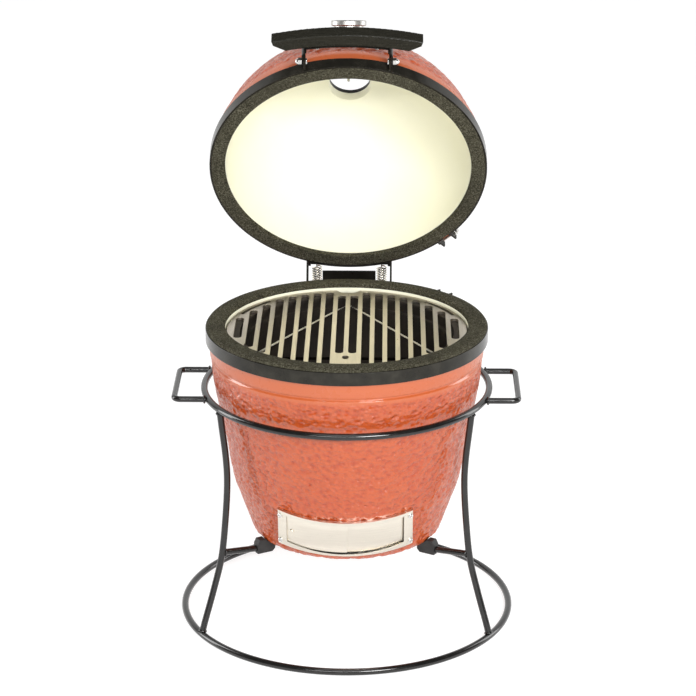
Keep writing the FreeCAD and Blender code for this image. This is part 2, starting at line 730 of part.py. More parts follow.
def thermometer():
    """Name and shape of each thermometer piece, before it is placed."""
    body = turn_poly([(0, -26), (5.2, -26), (5.2, 1.6), (11, 1.6), (13, 5.0), (21.4, 9.0),
                      (21.4, 16.0), (0, 16.0)])
    body = body.cut(Part.makeCylinder(1.85, 40, V(0, 0, -27)))
    bezel = turn_poly([(21.5, 12.6), (24.2, 12.6), (25.6, 14.0), (25.6, 19.6), (24.2, 21.0),
                       (21.4, 20.4), (21.4, 19.9), (22.5, 19.9), (22.5, 16.02), (21.5, 16.02)])
    dial = Part.makeCylinder(22.4, 0.9, V(0, 0, 16.05))
    needle = fuse([Part.makeCylinder(2.4, 1.2, V(0, 0, 17.0)),
                   box(-0.7, 0.7, -5.0, 17.0, 17.0, 17.7)])
    needle.rotate(V(0, 0, 0), V(0, 0, 1), 128.0)
    glass = Part.makeCylinder(22.4, 1.3, V(0, 0, 18.5))
    probe = fuse([Part.makeCylinder(1.8, 82, V(0, 0, -66)), Part.makeSphere(1.8, V(0, 0, -66))])
    nut = hexagon(17.0, (0, 0, -26), (0, 0, -20)).cut(Part.makeCylinder(5.22, 10, V(0, 0, -28)))
    return {"thermometer_body": body.cut(probe), "thermometer_bezel": bezel,
            "thermometer_dial": dial, "thermometer_needle": needle,
            "thermometer_glass": glass, "thermometer_probe": probe, "thermometer_nut": nut}


# ---- top vent, built on the shut lid ----

VENT_Z = LID_Z + 199.52
PIVOT = (-31.0, 44.0)


def vent_base():
    """Cast ring on the chimney with a pivot boss."""
    low = VENT_Z
    body = turn_poly([(CHIMNEY_R + 0.2, low), (47.0, low), (47.0, low + 5.5), (45.5, low + 7.0),
                      (CHIMNEY_R + 0.2, low + 7.0)])
    boss = Part.makeCylinder(8.0, 7.0, V(PIVOT[0], PIVOT[1], low))
    web = box(-6, 6, 38, math.hypot(*PIVOT), low, low + 7.0)
    web.rotate(V(0, 0, 0), V(0, 0, 1), math.degrees(math.atan2(-PIVOT[0], PIVOT[1])))
    body = fuse([body, boss, web])
    body = body.cut(Part.makeCylinder(CHIMNEY_R + 0.2, 40, V(0, 0, low - 10)))
    return body.cut(Part.makeCylinder(3.0, 20, V(PIVOT[0], PIVOT[1], low - 2)))


def vent_pivot():
    """Shouldered pin the vent disc turns on."""
    low = VENT_Z
    x, y = PIVOT
    return fuse([Part.makeCylinder(3.0, 13.6, V(x, y, low + 0.2)),
                 Part.makeCylinder(5.6, 2.4, V(x, y, low + 11.6))])


def vent_disc():
    """Swing disc, shown swung clear of the chimney."""
    low = VENT_Z + 7.3
    disc = Part.makeCylinder(43.0, 4.0, V(0, 0, low))
    disc = disc.makeChamfer(1.0, [e for e in disc.Edges if e.BoundBox.ZMin > low + 3.9])
    ear = Part.makeCylinder(8.0, 4.0, V(PIVOT[0], PIVOT[1], low))
    arm = box(-6, 6, 30, math.hypot(*PIVOT), low, low + 4.0)
    arm.rotate(V(0, 0, 0), V(0, 0, 1), math.degrees(math.atan2(-PIVOT[0], PIVOT[1])))
    body = fuse([disc, ear, arm]).cut(Part.makeCylinder(3.08, 12, V(PIVOT[0], PIVOT[1], low - 2)))
    body = body.cut(Part.makeCylinder(2.5, 12, V(0, 0, low - 2)))
    body.rotate(V(PIVOT[0], PIVOT[1], 0), V(0, 0, 1), -90.0)
    return body


def vent_knob():
    """Turned knob on the vent disc."""
    low = VENT_Z + 7.3
    knob = turn_poly([(0, low + 0.2), (2.48, low + 0.2), (2.48, low + 4.02), (6.0, low + 4.02),
                      (5.0, low + 8.5), (8.5, low + 12.0), (9.0, low + 16.5), (6.5, low + 19.5),
                      (0, low + 20.5)])
    knob.rotate(V(PIVOT[0], PIVOT[1], 0), V(0, 0, 1), -90.0)
    return knob


def build():
    """Make every piece in its rest place."""
    bowl = ceramic_bowl()
    base_leg = leg()
    base_strut = strut()
    base_bumper = bumper(bowl)
    add("base_ring", base_ring())
    add("upper_ring", upper_ring())
    for name, angle in zip(("front_left", "front_right", "rear"), LEG_ANGLES):
        add("leg_" + name, around(base_leg, angle))
        add("strut_" + name, around(base_strut, angle))
        add("bumper_" + name, around(base_bumper, angle))
    add("carry_handle_right", carry_handle())
    add("carry_handle_left", mirror_x(carry_handle()))

    frame = draft_frame(bowl)
    for x, t in SCREW_SPOTS:
        hole = plate_screw(x, t, 0.02)
        bowl = bowl.cut(hole)
        frame = frame.cut(hole)
    add("ceramic_bowl", bowl)
    add("bowl_band", clamp_band(BAND_Z[0], BAND_Z[1], 42.5))
    add("bowl_band_bolt", clamp_bolt(BAND_Z[0], BAND_Z[1], 42.5))
    add("bowl_gasket", bowl_gasket())
    add("firebox", firebox())
    add("fire_ring", fire_ring())
    add("charcoal_grate", charcoal_grate())
    add("wire_rack", wire_rack())
    add("cooking_grate", cooking_grate())
    add("draft_frame", frame)
    add("draft_fixed_panel", draft_fixed_panel())
    add("draft_door", draft_door())
    add("draft_screws", Part.makeCompound([plate_screw(x, t) for x, t in SCREW_SPOTS]))

    add("hinge_base", hinge_base())
    add("hinge_bolts", Part.makeCompound([hinge_bolt(-1), hinge_bolt(1)]))
    nuts = [acorn_nut(side * 64.7, HINGE_Y, HINGE_Z, side, 12.0, 4.02) for side in (-1, 1)]
    add("hinge_nuts", Part.makeCompound(nuts))
    add("hinge_spring_left", hinge_spring(-1))
    add("hinge_spring_right", hinge_spring(1))

    lid_band = (LID_Z + 0.9, LID_Z + 19.0, 45.0)
    dome = ceramic_dome().cut(thermo_hole())
    add("ceramic_dome", opened(dome))
    add("dome_gasket", opened(dome_gasket()))
    add("dome_band", opened(dome_band(45.0)))
    add("dome_band_bolt", opened(clamp_bolt(*lid_band)))
    add("hinge_lid_bracket", opened(hinge_lid_bracket()))
    add("lift_handle", opened(handle_board()))
    add("handle_bracket", opened(handle_bracket()))
    add("handle_bolts", opened(handle_bolts()))
    add("handle_screws", opened(handle_screws()))
    caps = [acorn_nut(side * 64.0, -203.5, LID_Z + 10, side, 10.0, 3.0) for side in (-1, 1)]
    add("handle_nuts", opened(Part.makeCompound(caps)))
    for name, shape in thermometer().items():
        add(name, thermo_place(shape))
    add("vent_base", opened(vent_base()))
    add("vent_pivot", opened(vent_pivot()))
    add("vent_disc", opened(vent_disc()))
    add("vent_knob", opened(vent_knob()))


def export():
    """Write one file for each node."""
    os.makedirs("parts", exist_ok=True)
    for name, shape in nodes.items():
        shape.exportStep("parts/%s.step" % name)
        print("%-22s solids %d valid %s vol %.0f" %
              (name, len(shape.Solids), shape.isValid(), shape.Volume))


build()
export()
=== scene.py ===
import json
import math

import bmesh
import bpy
from mathutils import Matrix, Vector


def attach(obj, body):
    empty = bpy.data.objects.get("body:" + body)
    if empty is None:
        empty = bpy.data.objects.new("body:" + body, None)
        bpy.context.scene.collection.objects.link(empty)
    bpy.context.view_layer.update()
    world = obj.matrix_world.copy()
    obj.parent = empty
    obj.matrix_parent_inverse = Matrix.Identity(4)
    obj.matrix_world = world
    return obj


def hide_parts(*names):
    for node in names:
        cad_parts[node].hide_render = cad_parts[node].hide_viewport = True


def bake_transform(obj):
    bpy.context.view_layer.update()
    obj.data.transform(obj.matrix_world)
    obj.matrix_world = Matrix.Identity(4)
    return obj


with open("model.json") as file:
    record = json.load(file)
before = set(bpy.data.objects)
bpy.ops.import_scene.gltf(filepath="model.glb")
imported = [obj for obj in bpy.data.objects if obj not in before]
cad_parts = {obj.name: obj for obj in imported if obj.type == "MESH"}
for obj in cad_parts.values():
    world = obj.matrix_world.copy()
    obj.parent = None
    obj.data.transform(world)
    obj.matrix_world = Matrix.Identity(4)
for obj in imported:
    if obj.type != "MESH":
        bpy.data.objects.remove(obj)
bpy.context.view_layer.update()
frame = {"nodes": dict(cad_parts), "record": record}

MM = 0.001
NODES = frame["nodes"]
RECORD = frame["record"]
BODY = {n: b for b, names in RECORD["behaviour"]["bodies"].items() for n in names}
SLOT = {s["node"]: s["material_slot"] for s in RECORD["subparts"]}

# ---- sizes shared by the made pieces, in millimetres ----
LID_PLANE = 443.0          # the lid's opening plane when it is shut
HINGE = (223.1, 418.3)     # depth and height of the lid's axis
OPEN = math.radians(61.56)  # the lid stands this far open at rest
LID_TURN = (Matrix.Translation((0, HINGE[0] * MM, HINGE[1] * MM))
            @ Matrix.Rotation(-OPEN, 4, "X")
            @ Matrix.Translation((0, -HINGE[0] * MM, -HINGE[1] * MM)))
GLAZE_CELL = 9.5           # width of one dimple in the glaze
GLAZE_DEPTH = 2.0
SHELL_COLUMNS = 480

# radius and height of the rings and of corners in the bowl's wall
BASE_RING = (239.0, 5.0)
UPPER_RING = (205.0, 345.0)
WALL_FOOT = (137.2, 134.5)
WINDOW_LOW = (143.42, 152.0)
WINDOW_HIGH = (154.80, 184.0)
WALL_KNEE = (163.8, 209.3)

HANDLE_ROOT = 61           # a hand loop's ends lie this far before and behind its middle
SPRING_X = 48.8
SPRING_Y = 249.0

# the draft plate leans with the wall it is screwed to
PLATE_R = 168.0            # it is rolled to this radius
PLATE_LEAN = math.atan((WALL_KNEE[0] - WALL_FOOT[0]) / (WALL_KNEE[1] - WALL_FOOT[1]))
PLATE_TURN = Matrix.Translation((0, 0.0097094, 0.22279)) @ Matrix.Rotation(PLATE_LEAN, 4, "X")


# ---------------------------------------------------------------- materials

class Finish:
    """A Principled finish and short ways to wire its texture nodes."""

    def __init__(self, name, color, rough, metal=0.0, **fixed):
        self.mat = bpy.data.materials.new(name)
        self.mat.use_nodes = True
        self.tree = self.mat.node_tree
        self.bsdf = self.tree.nodes["Principled BSDF"]
        self.set("Base Color", (*color, 1.0))
        self.set("Roughness", rough)
        self.set("Metallic", metal)
        for key, value in fixed.items():
            self.set(key.replace("_", " "), value)
        self.place = self.tree.nodes.new("ShaderNodeTexCoord").outputs["Object"]

    def set(self, socket, value):
        self.bsdf.inputs[socket].default_value = value

    def join(self, out, socket):
        self.tree.links.new(out, self.bsdf.inputs[socket])

    def node(self, kind, links=(), **props):
        made = self.tree.nodes.new(kind)
        for key, value in props.items():
            setattr(made, key, value)
        for socket, out in links:
            self.feed(made.inputs[socket], out)
        return made

    def feed(self, socket, value):
        if isinstance(value, bpy.types.NodeSocket):
            self.tree.links.new(value, socket)
        else:
            socket.default_value = value

    def stretched(self, scale):
        """Object coordinates stretched, for a grain that runs one way."""
        return self.node("ShaderNodeMapping", [("Vector", self.place), ("Scale", scale)]).outputs[0]

    def noise(self, scale, detail=4.0, rough=0.55, where=None, twist=0.0):
        return self.node("ShaderNodeTexNoise", [
            ("Vector", where or self.place), ("Scale", scale), ("Detail", detail),
            ("Roughness", rough), ("Distortion", twist)]).outputs["Fac"]

    def cells(self, scale, smooth=0.35, where=None, feature="SMOOTH_F1"):
        made = self.node("ShaderNodeTexVoronoi", [("Vector", where or self.place), ("Scale", scale)],
                         feature=feature)
        if feature == "SMOOTH_F1":
            made.inputs["Smoothness"].default_value = smooth
        return made.outputs["Distance"]

    def ramp(self, fac, stops):
        made = self.node("ShaderNodeValToRGB", [("Fac", fac)])
        band = made.color_ramp
        while len(band.elements) < len(stops):
            band.elements.new(0.5)
        for element, (at, color) in zip(band.elements, stops):
            element.position = at
            if isinstance(color, float):
                color = (color, color, color)
            element.color = (*color, 1.0)
        return made.outputs["Color"]

    def mix(self, fac, a, b):
        made = self.node("ShaderNodeMix", data_type="RGBA", blend_type="MIX")
        self.feed(made.inputs[0], fac)
        for socket, value in ((made.inputs[6], a), (made.inputs[7], b)):
            if isinstance(value, tuple):
                value = (*value, 1.0)
            self.feed(socket, value)
        return made.outputs[2]

    def math(self, kind, a, b=0.0):
        return self.node("ShaderNodeMath", [(0, a), (1, b)], operation=kind).outputs[0]

    def bump(self, height, strength, distance, under=None):
        links = [("Height", height), ("Strength", strength), ("Distance", distance)]
        if under is not None:
            links.append(("Normal", under))
        out = self.node("ShaderNodeBump", links).outputs["Normal"]
        self.join(out, "Normal")
        return out


def red_glaze():
    """Glossy red-orange glaze, darker in the dimples as pooled glaze and painted shade, with painted
    shade behind the draft plate where the gap under the door shows.
    """
    f = Finish("red_glaze", (0.42, 0.056, 0.012), 0.30, Coat_Weight=1.0, Coat_Roughness=0.03,
               Coat_IOR=1.6, Specular_IOR_Level=0.15)
    pool_and_shade = f.node("ShaderNodeAttribute", attribute_name="pool_and_shade").outputs["Fac"]
    cloud = f.noise(9.0, 3.0)
    # darker in the dimple pits and lighter on the ridges: partly glaze pooled in the pits, partly
    # painted shade and painted highlight on the relief
    deep, even, crest = (0.415, 0.055, 0.010), (0.455, 0.072, 0.014), (0.485, 0.084, 0.017)
    tone = f.ramp(f.math("ADD", pool_and_shade, 1.0), [(0.05, deep), (0.5, even), (0.95, crest)])
    tone = f.mix(f.ramp(cloud, [(0.35, 0.0), (0.7, 0.35)]), tone, (0.42, 0.048, 0.008))
    smooth_part = f.node("ShaderNodeAttribute", attribute_name="relief").outputs["Fac"]
    thin = f.ramp(smooth_part, [(0.0, 0.75), (0.8, 0.0)])
    tone = f.mix(thin, tone, (0.50, 0.115, 0.034))
    pin = f.noise(420.0, 2.0)
    tone = f.mix(f.ramp(pin, [(0.72, 0.0), (0.82, 0.4)]), tone, (0.30, 0.020, 0.010))
    # painted shade: a near-black colour standing in for the shadow in the gap under the draft door
    soot_and_shade = (0.012, 0.009, 0.007)
    # painted shade: the gap under the draft door is painted dark on the bowl wall, in metres; its edges
    # rise with x squared
    low, high, half_width, rise, front = 0.1416, 0.190, 0.085, 0.95, -0.1
    spot = f.node("ShaderNodeSeparateXYZ", [("Vector", f.place)]).outputs
    arc = f.math("MULTIPLY", f.math("MULTIPLY", spot["X"], spot["X"]), rise)
    lift = f.math("SUBTRACT", spot["Z"], arc)
    painted_gap_shade_mask = f.math("MULTIPLY", f.math("GREATER_THAN", lift, low), f.math("LESS_THAN", lift, high))
    painted_gap_shade_mask = f.math("MULTIPLY", painted_gap_shade_mask, f.math("LESS_THAN", f.math("ABSOLUTE", spot["X"]), half_width))
    painted_gap_shade_mask = f.math("MULTIPLY", painted_gap_shade_mask, f.math("LESS_THAN", spot["Y"], front))
    # paint the shade of the draft gap onto the glaze
    tone = f.mix(painted_gap_shade_mask, tone, soot_and_shade)
    f.join(tone, "Base Color")
    f.join(f.ramp(f.noise(60.0, 5.0), [(0.3, 0.24), (0.75, 0.36)]), "Roughness")
    edge_on = f.node("ShaderNodeLayerWeight", [("Blend", 0.5)]).outputs["Facing"]
    f.join(f.ramp(edge_on, [(0.35, 1.0), (0.9, 0.15)]), "Coat Weight")
    grain = f.cells(150.0, 0.4, f.stretched((1.0, 1.0, 1.4)))
    grain = f.math("MULTIPLY", grain, smooth_part)
    under = f.bump(grain, 0.9, 0.0030)
    under = f.bump(f.noise(170.0, 3.0, 0.5), 0.15, 0.0008, under)
    f.bump(f.noise(1400.0, 2.0), 0.04, 0.0002, under)
    return f.mat


def cream_glaze():
    """Pale inner glaze with a faint yellow wash and kiln specks."""
    f = Finish("cream_glaze", (0.92, 0.90, 0.76), 0.5, Specular_IOR_Level=0.3)
    wash = f.noise(7.0, 4.0)
    tone = f.ramp(wash, [(0.3, (0.915, 0.90, 0.755)), (0.75, (0.90, 0.88, 0.69))])
    speck = f.ramp(f.cells(160.0, feature="F1"), [(0.03, 1.0), (0.07, 0.0)])
    tone = f.mix(f.math("MULTIPLY", speck, f.ramp(f.noise(40.0), [(0.5, 0.0), (0.7, 0.6)])),
                 tone, (0.52, 0.42, 0.25))
    height = f.node("ShaderNodeSeparateXYZ", [("Vector", f.place)]).outputs["Z"]
    # darker below a height of 0.424 to 0.436 m, with a ragged edge
    edge = f.math("ADD", height, f.math("MULTIPLY", f.noise(30.0, 5.0), 0.012))
    darkened = f.node("ShaderNodeMapRange", [("Value", edge), ("From Min", 0.436), ("From Max", 0.424)])
    tone = f.mix(darkened.outputs["Result"], tone, (0.030, 0.024, 0.018))
    f.join(tone, "Base Color")
    f.join(f.ramp(f.noise(35.0, 5.0), [(0.3, 0.42), (0.8, 0.58)]), "Roughness")
    f.bump(f.noise(90.0, 4.0), 0.10, 0.0010)
    return f.mat


def fire_clay():
    """Pressed heat-resistant ceramic, blackened by fire, with open grain."""
    f = Finish("fire_clay", (0.70, 0.63, 0.47), 0.82)
    tone = f.ramp(f.noise(16.0, 6.0, 0.6), [(0.3, (0.032, 0.022, 0.013)), (0.75, (0.016, 0.011, 0.007))])
    soot_and_shade = f.ramp(f.noise(11.0, 5.0, 0.65, twist=0.4), [(0.45, 0.0), (0.75, 0.8)])
    tone = f.mix(soot_and_shade, tone, (0.006, 0.004, 0.003))
    f.join(tone, "Base Color")
    grain = f.bump(f.noise(700.0, 4.0, 0.7), 0.35, 0.0006)
    f.bump(f.cells(260.0, feature="F1"), 0.15, 0.0006, grain)
    return f.mat


def felt():
    """Charcoal felt with pale and dark fibres."""
    f = Finish("felt", (0.04, 0.038, 0.026), 0.95, Specular_IOR_Level=0.08)
    tuft = f.noise(420.0, 6.0, 0.8, twist=0.6)
    tone = f.ramp(tuft, [(0.36, (0.010, 0.009, 0.005)), (0.50, (0.050, 0.046, 0.030)),
                         (0.64, (0.15, 0.14, 0.10))])
    fleck = f.ramp(f.noise(900.0, 3.0, 0.6), [(0.60, 0.0), (0.70, 0.9)])
    tone = f.mix(fleck, tone, (0.30, 0.28, 0.21))
    tone = f.mix(f.ramp(f.noise(22.0, 3.0), [(0.4, 0.0), (0.75, 0.35)]), tone, (0.012, 0.011, 0.008))
    f.join(tone, "Base Color")
    nap = f.bump(tuft, 0.9, 0.0012)
    f.bump(f.noise(2400.0, 3.0, 0.7), 0.5, 0.0005, nap)
    return f.mat


def coated(name, color, rough, metal=0.0, grain=900.0, depth=0.15, coat=0.0, gloss=0.5):
    """Sprayed or baked coating with fine orange peel, rub marks and dust."""
    f = Finish(name, color, rough, metal, Coat_Weight=coat, Coat_Roughness=0.08,
               Specular_IOR_Level=gloss)
    light = tuple(min(1.0, c * 1.7 + 0.004) for c in color)
    dark = tuple(c * 0.6 for c in color)
    tone = f.ramp(f.noise(45.0, 5.0, 0.6), [(0.3, dark), (0.5, color), (0.78, light)])
    f.join(tone, "Base Color")
    f.join(f.ramp(f.noise(130.0, 5.0, 0.65), [(0.3, rough * 0.75), (0.8, min(1.0, rough * 1.35))]),
           "Roughness")
    f.bump(f.noise(grain, 3.0, 0.6), depth, 0.0003)
    return f.mat


def brushed(name, color, rough, grain, depth=0.12):
    """Brushed metal; grain is the stretch of the scratches on each axis."""
    f = Finish(name, color, rough, 1.0)
    line = f.noise(1.0, 5.0, 0.7, f.stretched(grain))
    cloud = f.noise(28.0, 4.0)
    tone = f.mix(f.ramp(line, [(0.3, 0.0), (0.75, 0.6)]), color, tuple(c * 0.80 for c in color))
    tone = f.mix(f.ramp(cloud, [(0.35, 0.0), (0.8, 0.3)]), tone, tuple(c * 0.86 for c in color))
    f.join(tone, "Base Color")
    f.join(f.ramp(line, [(0.2, rough * 0.75), (0.8, rough * 1.4)]), "Roughness")
    f.bump(line, depth, 0.0002)
    return f.mat


def rack_wire():
    """Bright plated wire, burnt black where it crosses the front of the fire."""
    f = Finish("rack_wire", (0.80, 0.79, 0.76), 0.25, 1.0)
    line = f.noise(700.0, 4.0, 0.6)
    tone = f.ramp(line, [(0.3, (0.70, 0.69, 0.66)), (0.75, (0.84, 0.83, 0.80))])
    depth = f.node("ShaderNodeSeparateXYZ", [("Vector", f.place)]).outputs["Y"]
    edge = f.math("ADD", depth, f.math("MULTIPLY", f.noise(60.0, 4.0), 0.02))
    darkened = f.node("ShaderNodeMapRange", [("Value", edge), ("From Min", -0.030), ("From Max", -0.060)])
    f.join(f.mix(darkened.outputs["Result"], tone, (0.010, 0.008, 0.006)), "Base Color")
    f.join(f.ramp(darkened.outputs["Result"], [(0.0, 0.25), (1.0, 0.8)]), "Roughness")
    f.bump(line, 0.1, 0.0002)
    return f.mat


def casting(name, color, rough):
    """Sand-cast iron with a seasoned, sooty skin."""
    f = Finish(name, color, rough, 0.35)
    tone = f.ramp(f.noise(38.0, 6.0, 0.65), [(0.3, tuple(c * 0.6 for c in color)),
                                            (0.75, tuple(c * 1.8 for c in color))])
    f.join(tone, "Base Color")
    f.join(f.ramp(f.noise(90.0, 5.0), [(0.3, rough * 0.8), (0.8, min(1.0, rough * 1.2))]), "Roughness")
    sand = f.bump(f.noise(420.0, 5.0, 0.7), 0.5, 0.0006)
    f.bump(f.cells(900.0, feature="F1"), 0.2, 0.0003, sand)
    return f.mat


def handle_composite():
    """Dark pressed board with a fine lengthwise grain."""
    f = Finish("handle_composite", (0.04, 0.038, 0.034), 0.42, Specular_IOR_Level=0.30)
    grain = f.noise(1.0, 6.0, 0.65, f.stretched((40.0, 700.0, 700.0)))
    tone = f.ramp(grain, [(0.25, (0.008, 0.0075, 0.005)), (0.55, (0.018, 0.017, 0.012)),
                          (0.85, (0.040, 0.038, 0.030))])
    f.join(tone, "Base Color")
    f.join(f.ramp(f.noise(120.0, 5.0), [(0.3, 0.20), (0.8, 0.34)]), "Roughness")
    f.bump(grain, 0.08, 0.0003)
    return f.mat


def rubber():
    """Moulded black rubber, chalky where it is rubbed."""
    f = Finish("rubber", (0.012, 0.012, 0.012), 0.62)
    bloom = f.ramp(f.noise(70.0, 5.0, 0.6), [(0.35, (0.008, 0.008, 0.008)),
                                            (0.8, (0.030, 0.029, 0.028))])
    f.join(bloom, "Base Color")
    f.bump(f.noise(1100.0, 3.0), 0.3, 0.0003)
    return f.mat


def dial_paint():
    """White printed dial, faintly warmed by heat."""
    f = Finish("dial_paint", (0.86, 0.85, 0.80), 0.5)
    f.join(f.ramp(f.noise(60.0, 4.0), [(0.3, (0.88, 0.87, 0.83)), (0.8, (0.78, 0.75, 0.66))]),
           "Base Color")
    f.bump(f.noise(1500.0), 0.05, 0.0001)
    return f.mat


def lens_glass():
    """Clear flat lens with a little haze."""
    f = Finish("lens_glass", (0.96, 0.98, 0.98), 0.06, Transmission_Weight=1.0, IOR=1.45)
    f.join(f.ramp(f.noise(80.0, 4.0), [(0.4, 0.03), (0.85, 0.14)]), "Roughness")
    return f.mat


FINISH = {
    "stand_paint": coated("stand_paint", (0.007, 0.0065, 0.006), 0.16, 0.0, 500.0, 0.02, 0.0, 0.6),
    "bumper_rubber": rubber(),
    "glazed_shell": red_glaze(),
    "felt": felt(),
    "band_steel": coated("band_steel", (0.020, 0.018, 0.013), 0.20, 0.35, 1100.0, 0.02, 0.0, 0.4),
    "hinge_steel": coated("hinge_steel", (0.006, 0.005, 0.0035), 0.34, 0.0, 900.0, 0.08, 0.0, 0.22),
    "bright_hardware": brushed("bright_hardware", (0.78, 0.77, 0.74), 0.20,
                               (900.0, 900.0, 200.0), 0.06),
    "spring_wire": brushed("spring_wire", (0.72, 0.69, 0.62), 0.22, (300.0, 300.0, 900.0), 0.08),
    "fire_clay": fire_clay(),
    "cast_iron": casting("cast_iron", (0.018, 0.016, 0.014), 0.8),
    "grate_steel": brushed("grate_steel", (0.60, 0.54, 0.45), 0.30, (900.0, 30.0, 900.0)),
    "draft_steel": brushed("draft_steel", (0.86, 0.805, 0.70), 0.30, (25.0, 25.0, 1100.0), 0.015),
    "handle_board": handle_composite(),
    "thermometer_steel": brushed("thermometer_steel", (0.60, 0.59, 0.56), 0.36,
                                 (500.0, 500.0, 500.0), 0.03),
    "dial_face": dial_paint(),
    "needle_paint": coated("needle_paint", (0.45, 0.015, 0.012), 0.4),
    "dial_glass": lens_glass(),
    "vent_casting": casting("vent_casting", (0.030, 0.029, 0.028), 0.55),
    "knob_plastic": coated("knob_plastic", (0.018, 0.018, 0.018), 0.45, 0.0, 1300.0, 0.2),
}
CREAM = cream_glaze()
RACK_WIRE = rack_wire()
DIAL_INK = coated("dial_ink", (0.02, 0.02, 0.02), 0.5)


# ---------------------------------------------------------------- mesh helpers

def new_piece(name, mesh, body, replaces=()):
    piece = bpy.data.objects.new(name, mesh)
    bpy.context.scene.collection.objects.link(piece)
    if body:
        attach(piece, body)
    if replaces:
        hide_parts(*replaces)
    return piece


def baked(piece):
    """Plain mesh of a piece with its modifiers applied, and the modifiers removed."""
    bpy.context.view_layer.update()
    graph = bpy.context.evaluated_depsgraph_get()
    mesh = bpy.data.meshes.new_from_object(piece.evaluated_get(graph))
    piece.modifiers.clear()
    return mesh


def loose(mesh, name="work"):
    """Temporary object for a mesh that still needs modifiers."""
    piece = bpy.data.objects.new(name, mesh)
    bpy.context.scene.collection.objects.link(piece)
    return piece


def smooth(mesh, angle=35.0):
    """Smooth shading that keeps real corners crisp."""
    for face in mesh.polygons:
        face.use_smooth = True
    mesh.set_sharp_from_angle(angle=math.radians(angle))


def softened(node, width, angle=32.0, steps=2):
    """A CAD piece with its sharp edges rounded over."""
    mesh = NODES[node].data.copy()
    mesh.materials.clear()
    work = bmesh.new()
    work.from_mesh(mesh)
    bmesh.ops.remove_doubles(work, verts=work.verts, dist=2e-6)
    bmesh.ops.dissolve_limit(work, angle_limit=math.radians(0.4), verts=work.verts, edges=work.edges)
    work.to_mesh(mesh)
    work.free()
    mesh.materials.append(FINISH[SLOT[node]])
    piece = loose(mesh, node + "_work")
    mod = piece.modifiers.new("edge", "BEVEL")
    mod.width = width * MM
    mod.segments = steps
    mod.limit_method = "ANGLE"
    mod.angle_limit = math.radians(angle)
    mod.use_clamp_overlap = True
    mod.miter_outer = "MITER_ARC"
    even = piece.modifiers.new("even", "WEIGHTED_NORMAL")
    even.weight = 60
    smooth(mesh, angle)
    done = baked(piece)
    bpy.data.objects.remove(piece)
    return new_piece(node + "_finished", done, BODY[node], (node,))


def spline_points(points, step):
    """Points along a smooth open curve through the given points."""
    out = []
    n = len(points)
    for i in range(n - 1):
        p0 = Vector(points[max(i - 1, 0)])
        p1 = Vector(points[i])
        p2 = Vector(points[i + 1])
        p3 = Vector(points[min(i + 2, n - 1)])
        if i == 0:
            p0 = p1 * 2 - p2
        if i == n - 2:
            p3 = p2 * 2 - p1
        count = max(1, round((p2 - p1).length / step))
        for k in range(count):
            t = k / count
            out.append(0.5 * ((2 * p1) + (p2 - p0) * t + (2 * p0 - 5 * p1 + 4 * p2 - p3) * t * t
                              + (3 * p1 - p0 - 3 * p2 + p3) * t * t * t))
    out.append(Vector(points[-1]))
    return out


def straight(a, b, step):
    """Evenly spaced points on a straight run, its end left out."""
    a = Vector(a)
    b = Vector(b)
    count = max(1, round((b - a).length / step))
    return [a.lerp(b, k / count) for k in range(count)]


# ---------------------------------------------------------------- glazed shells

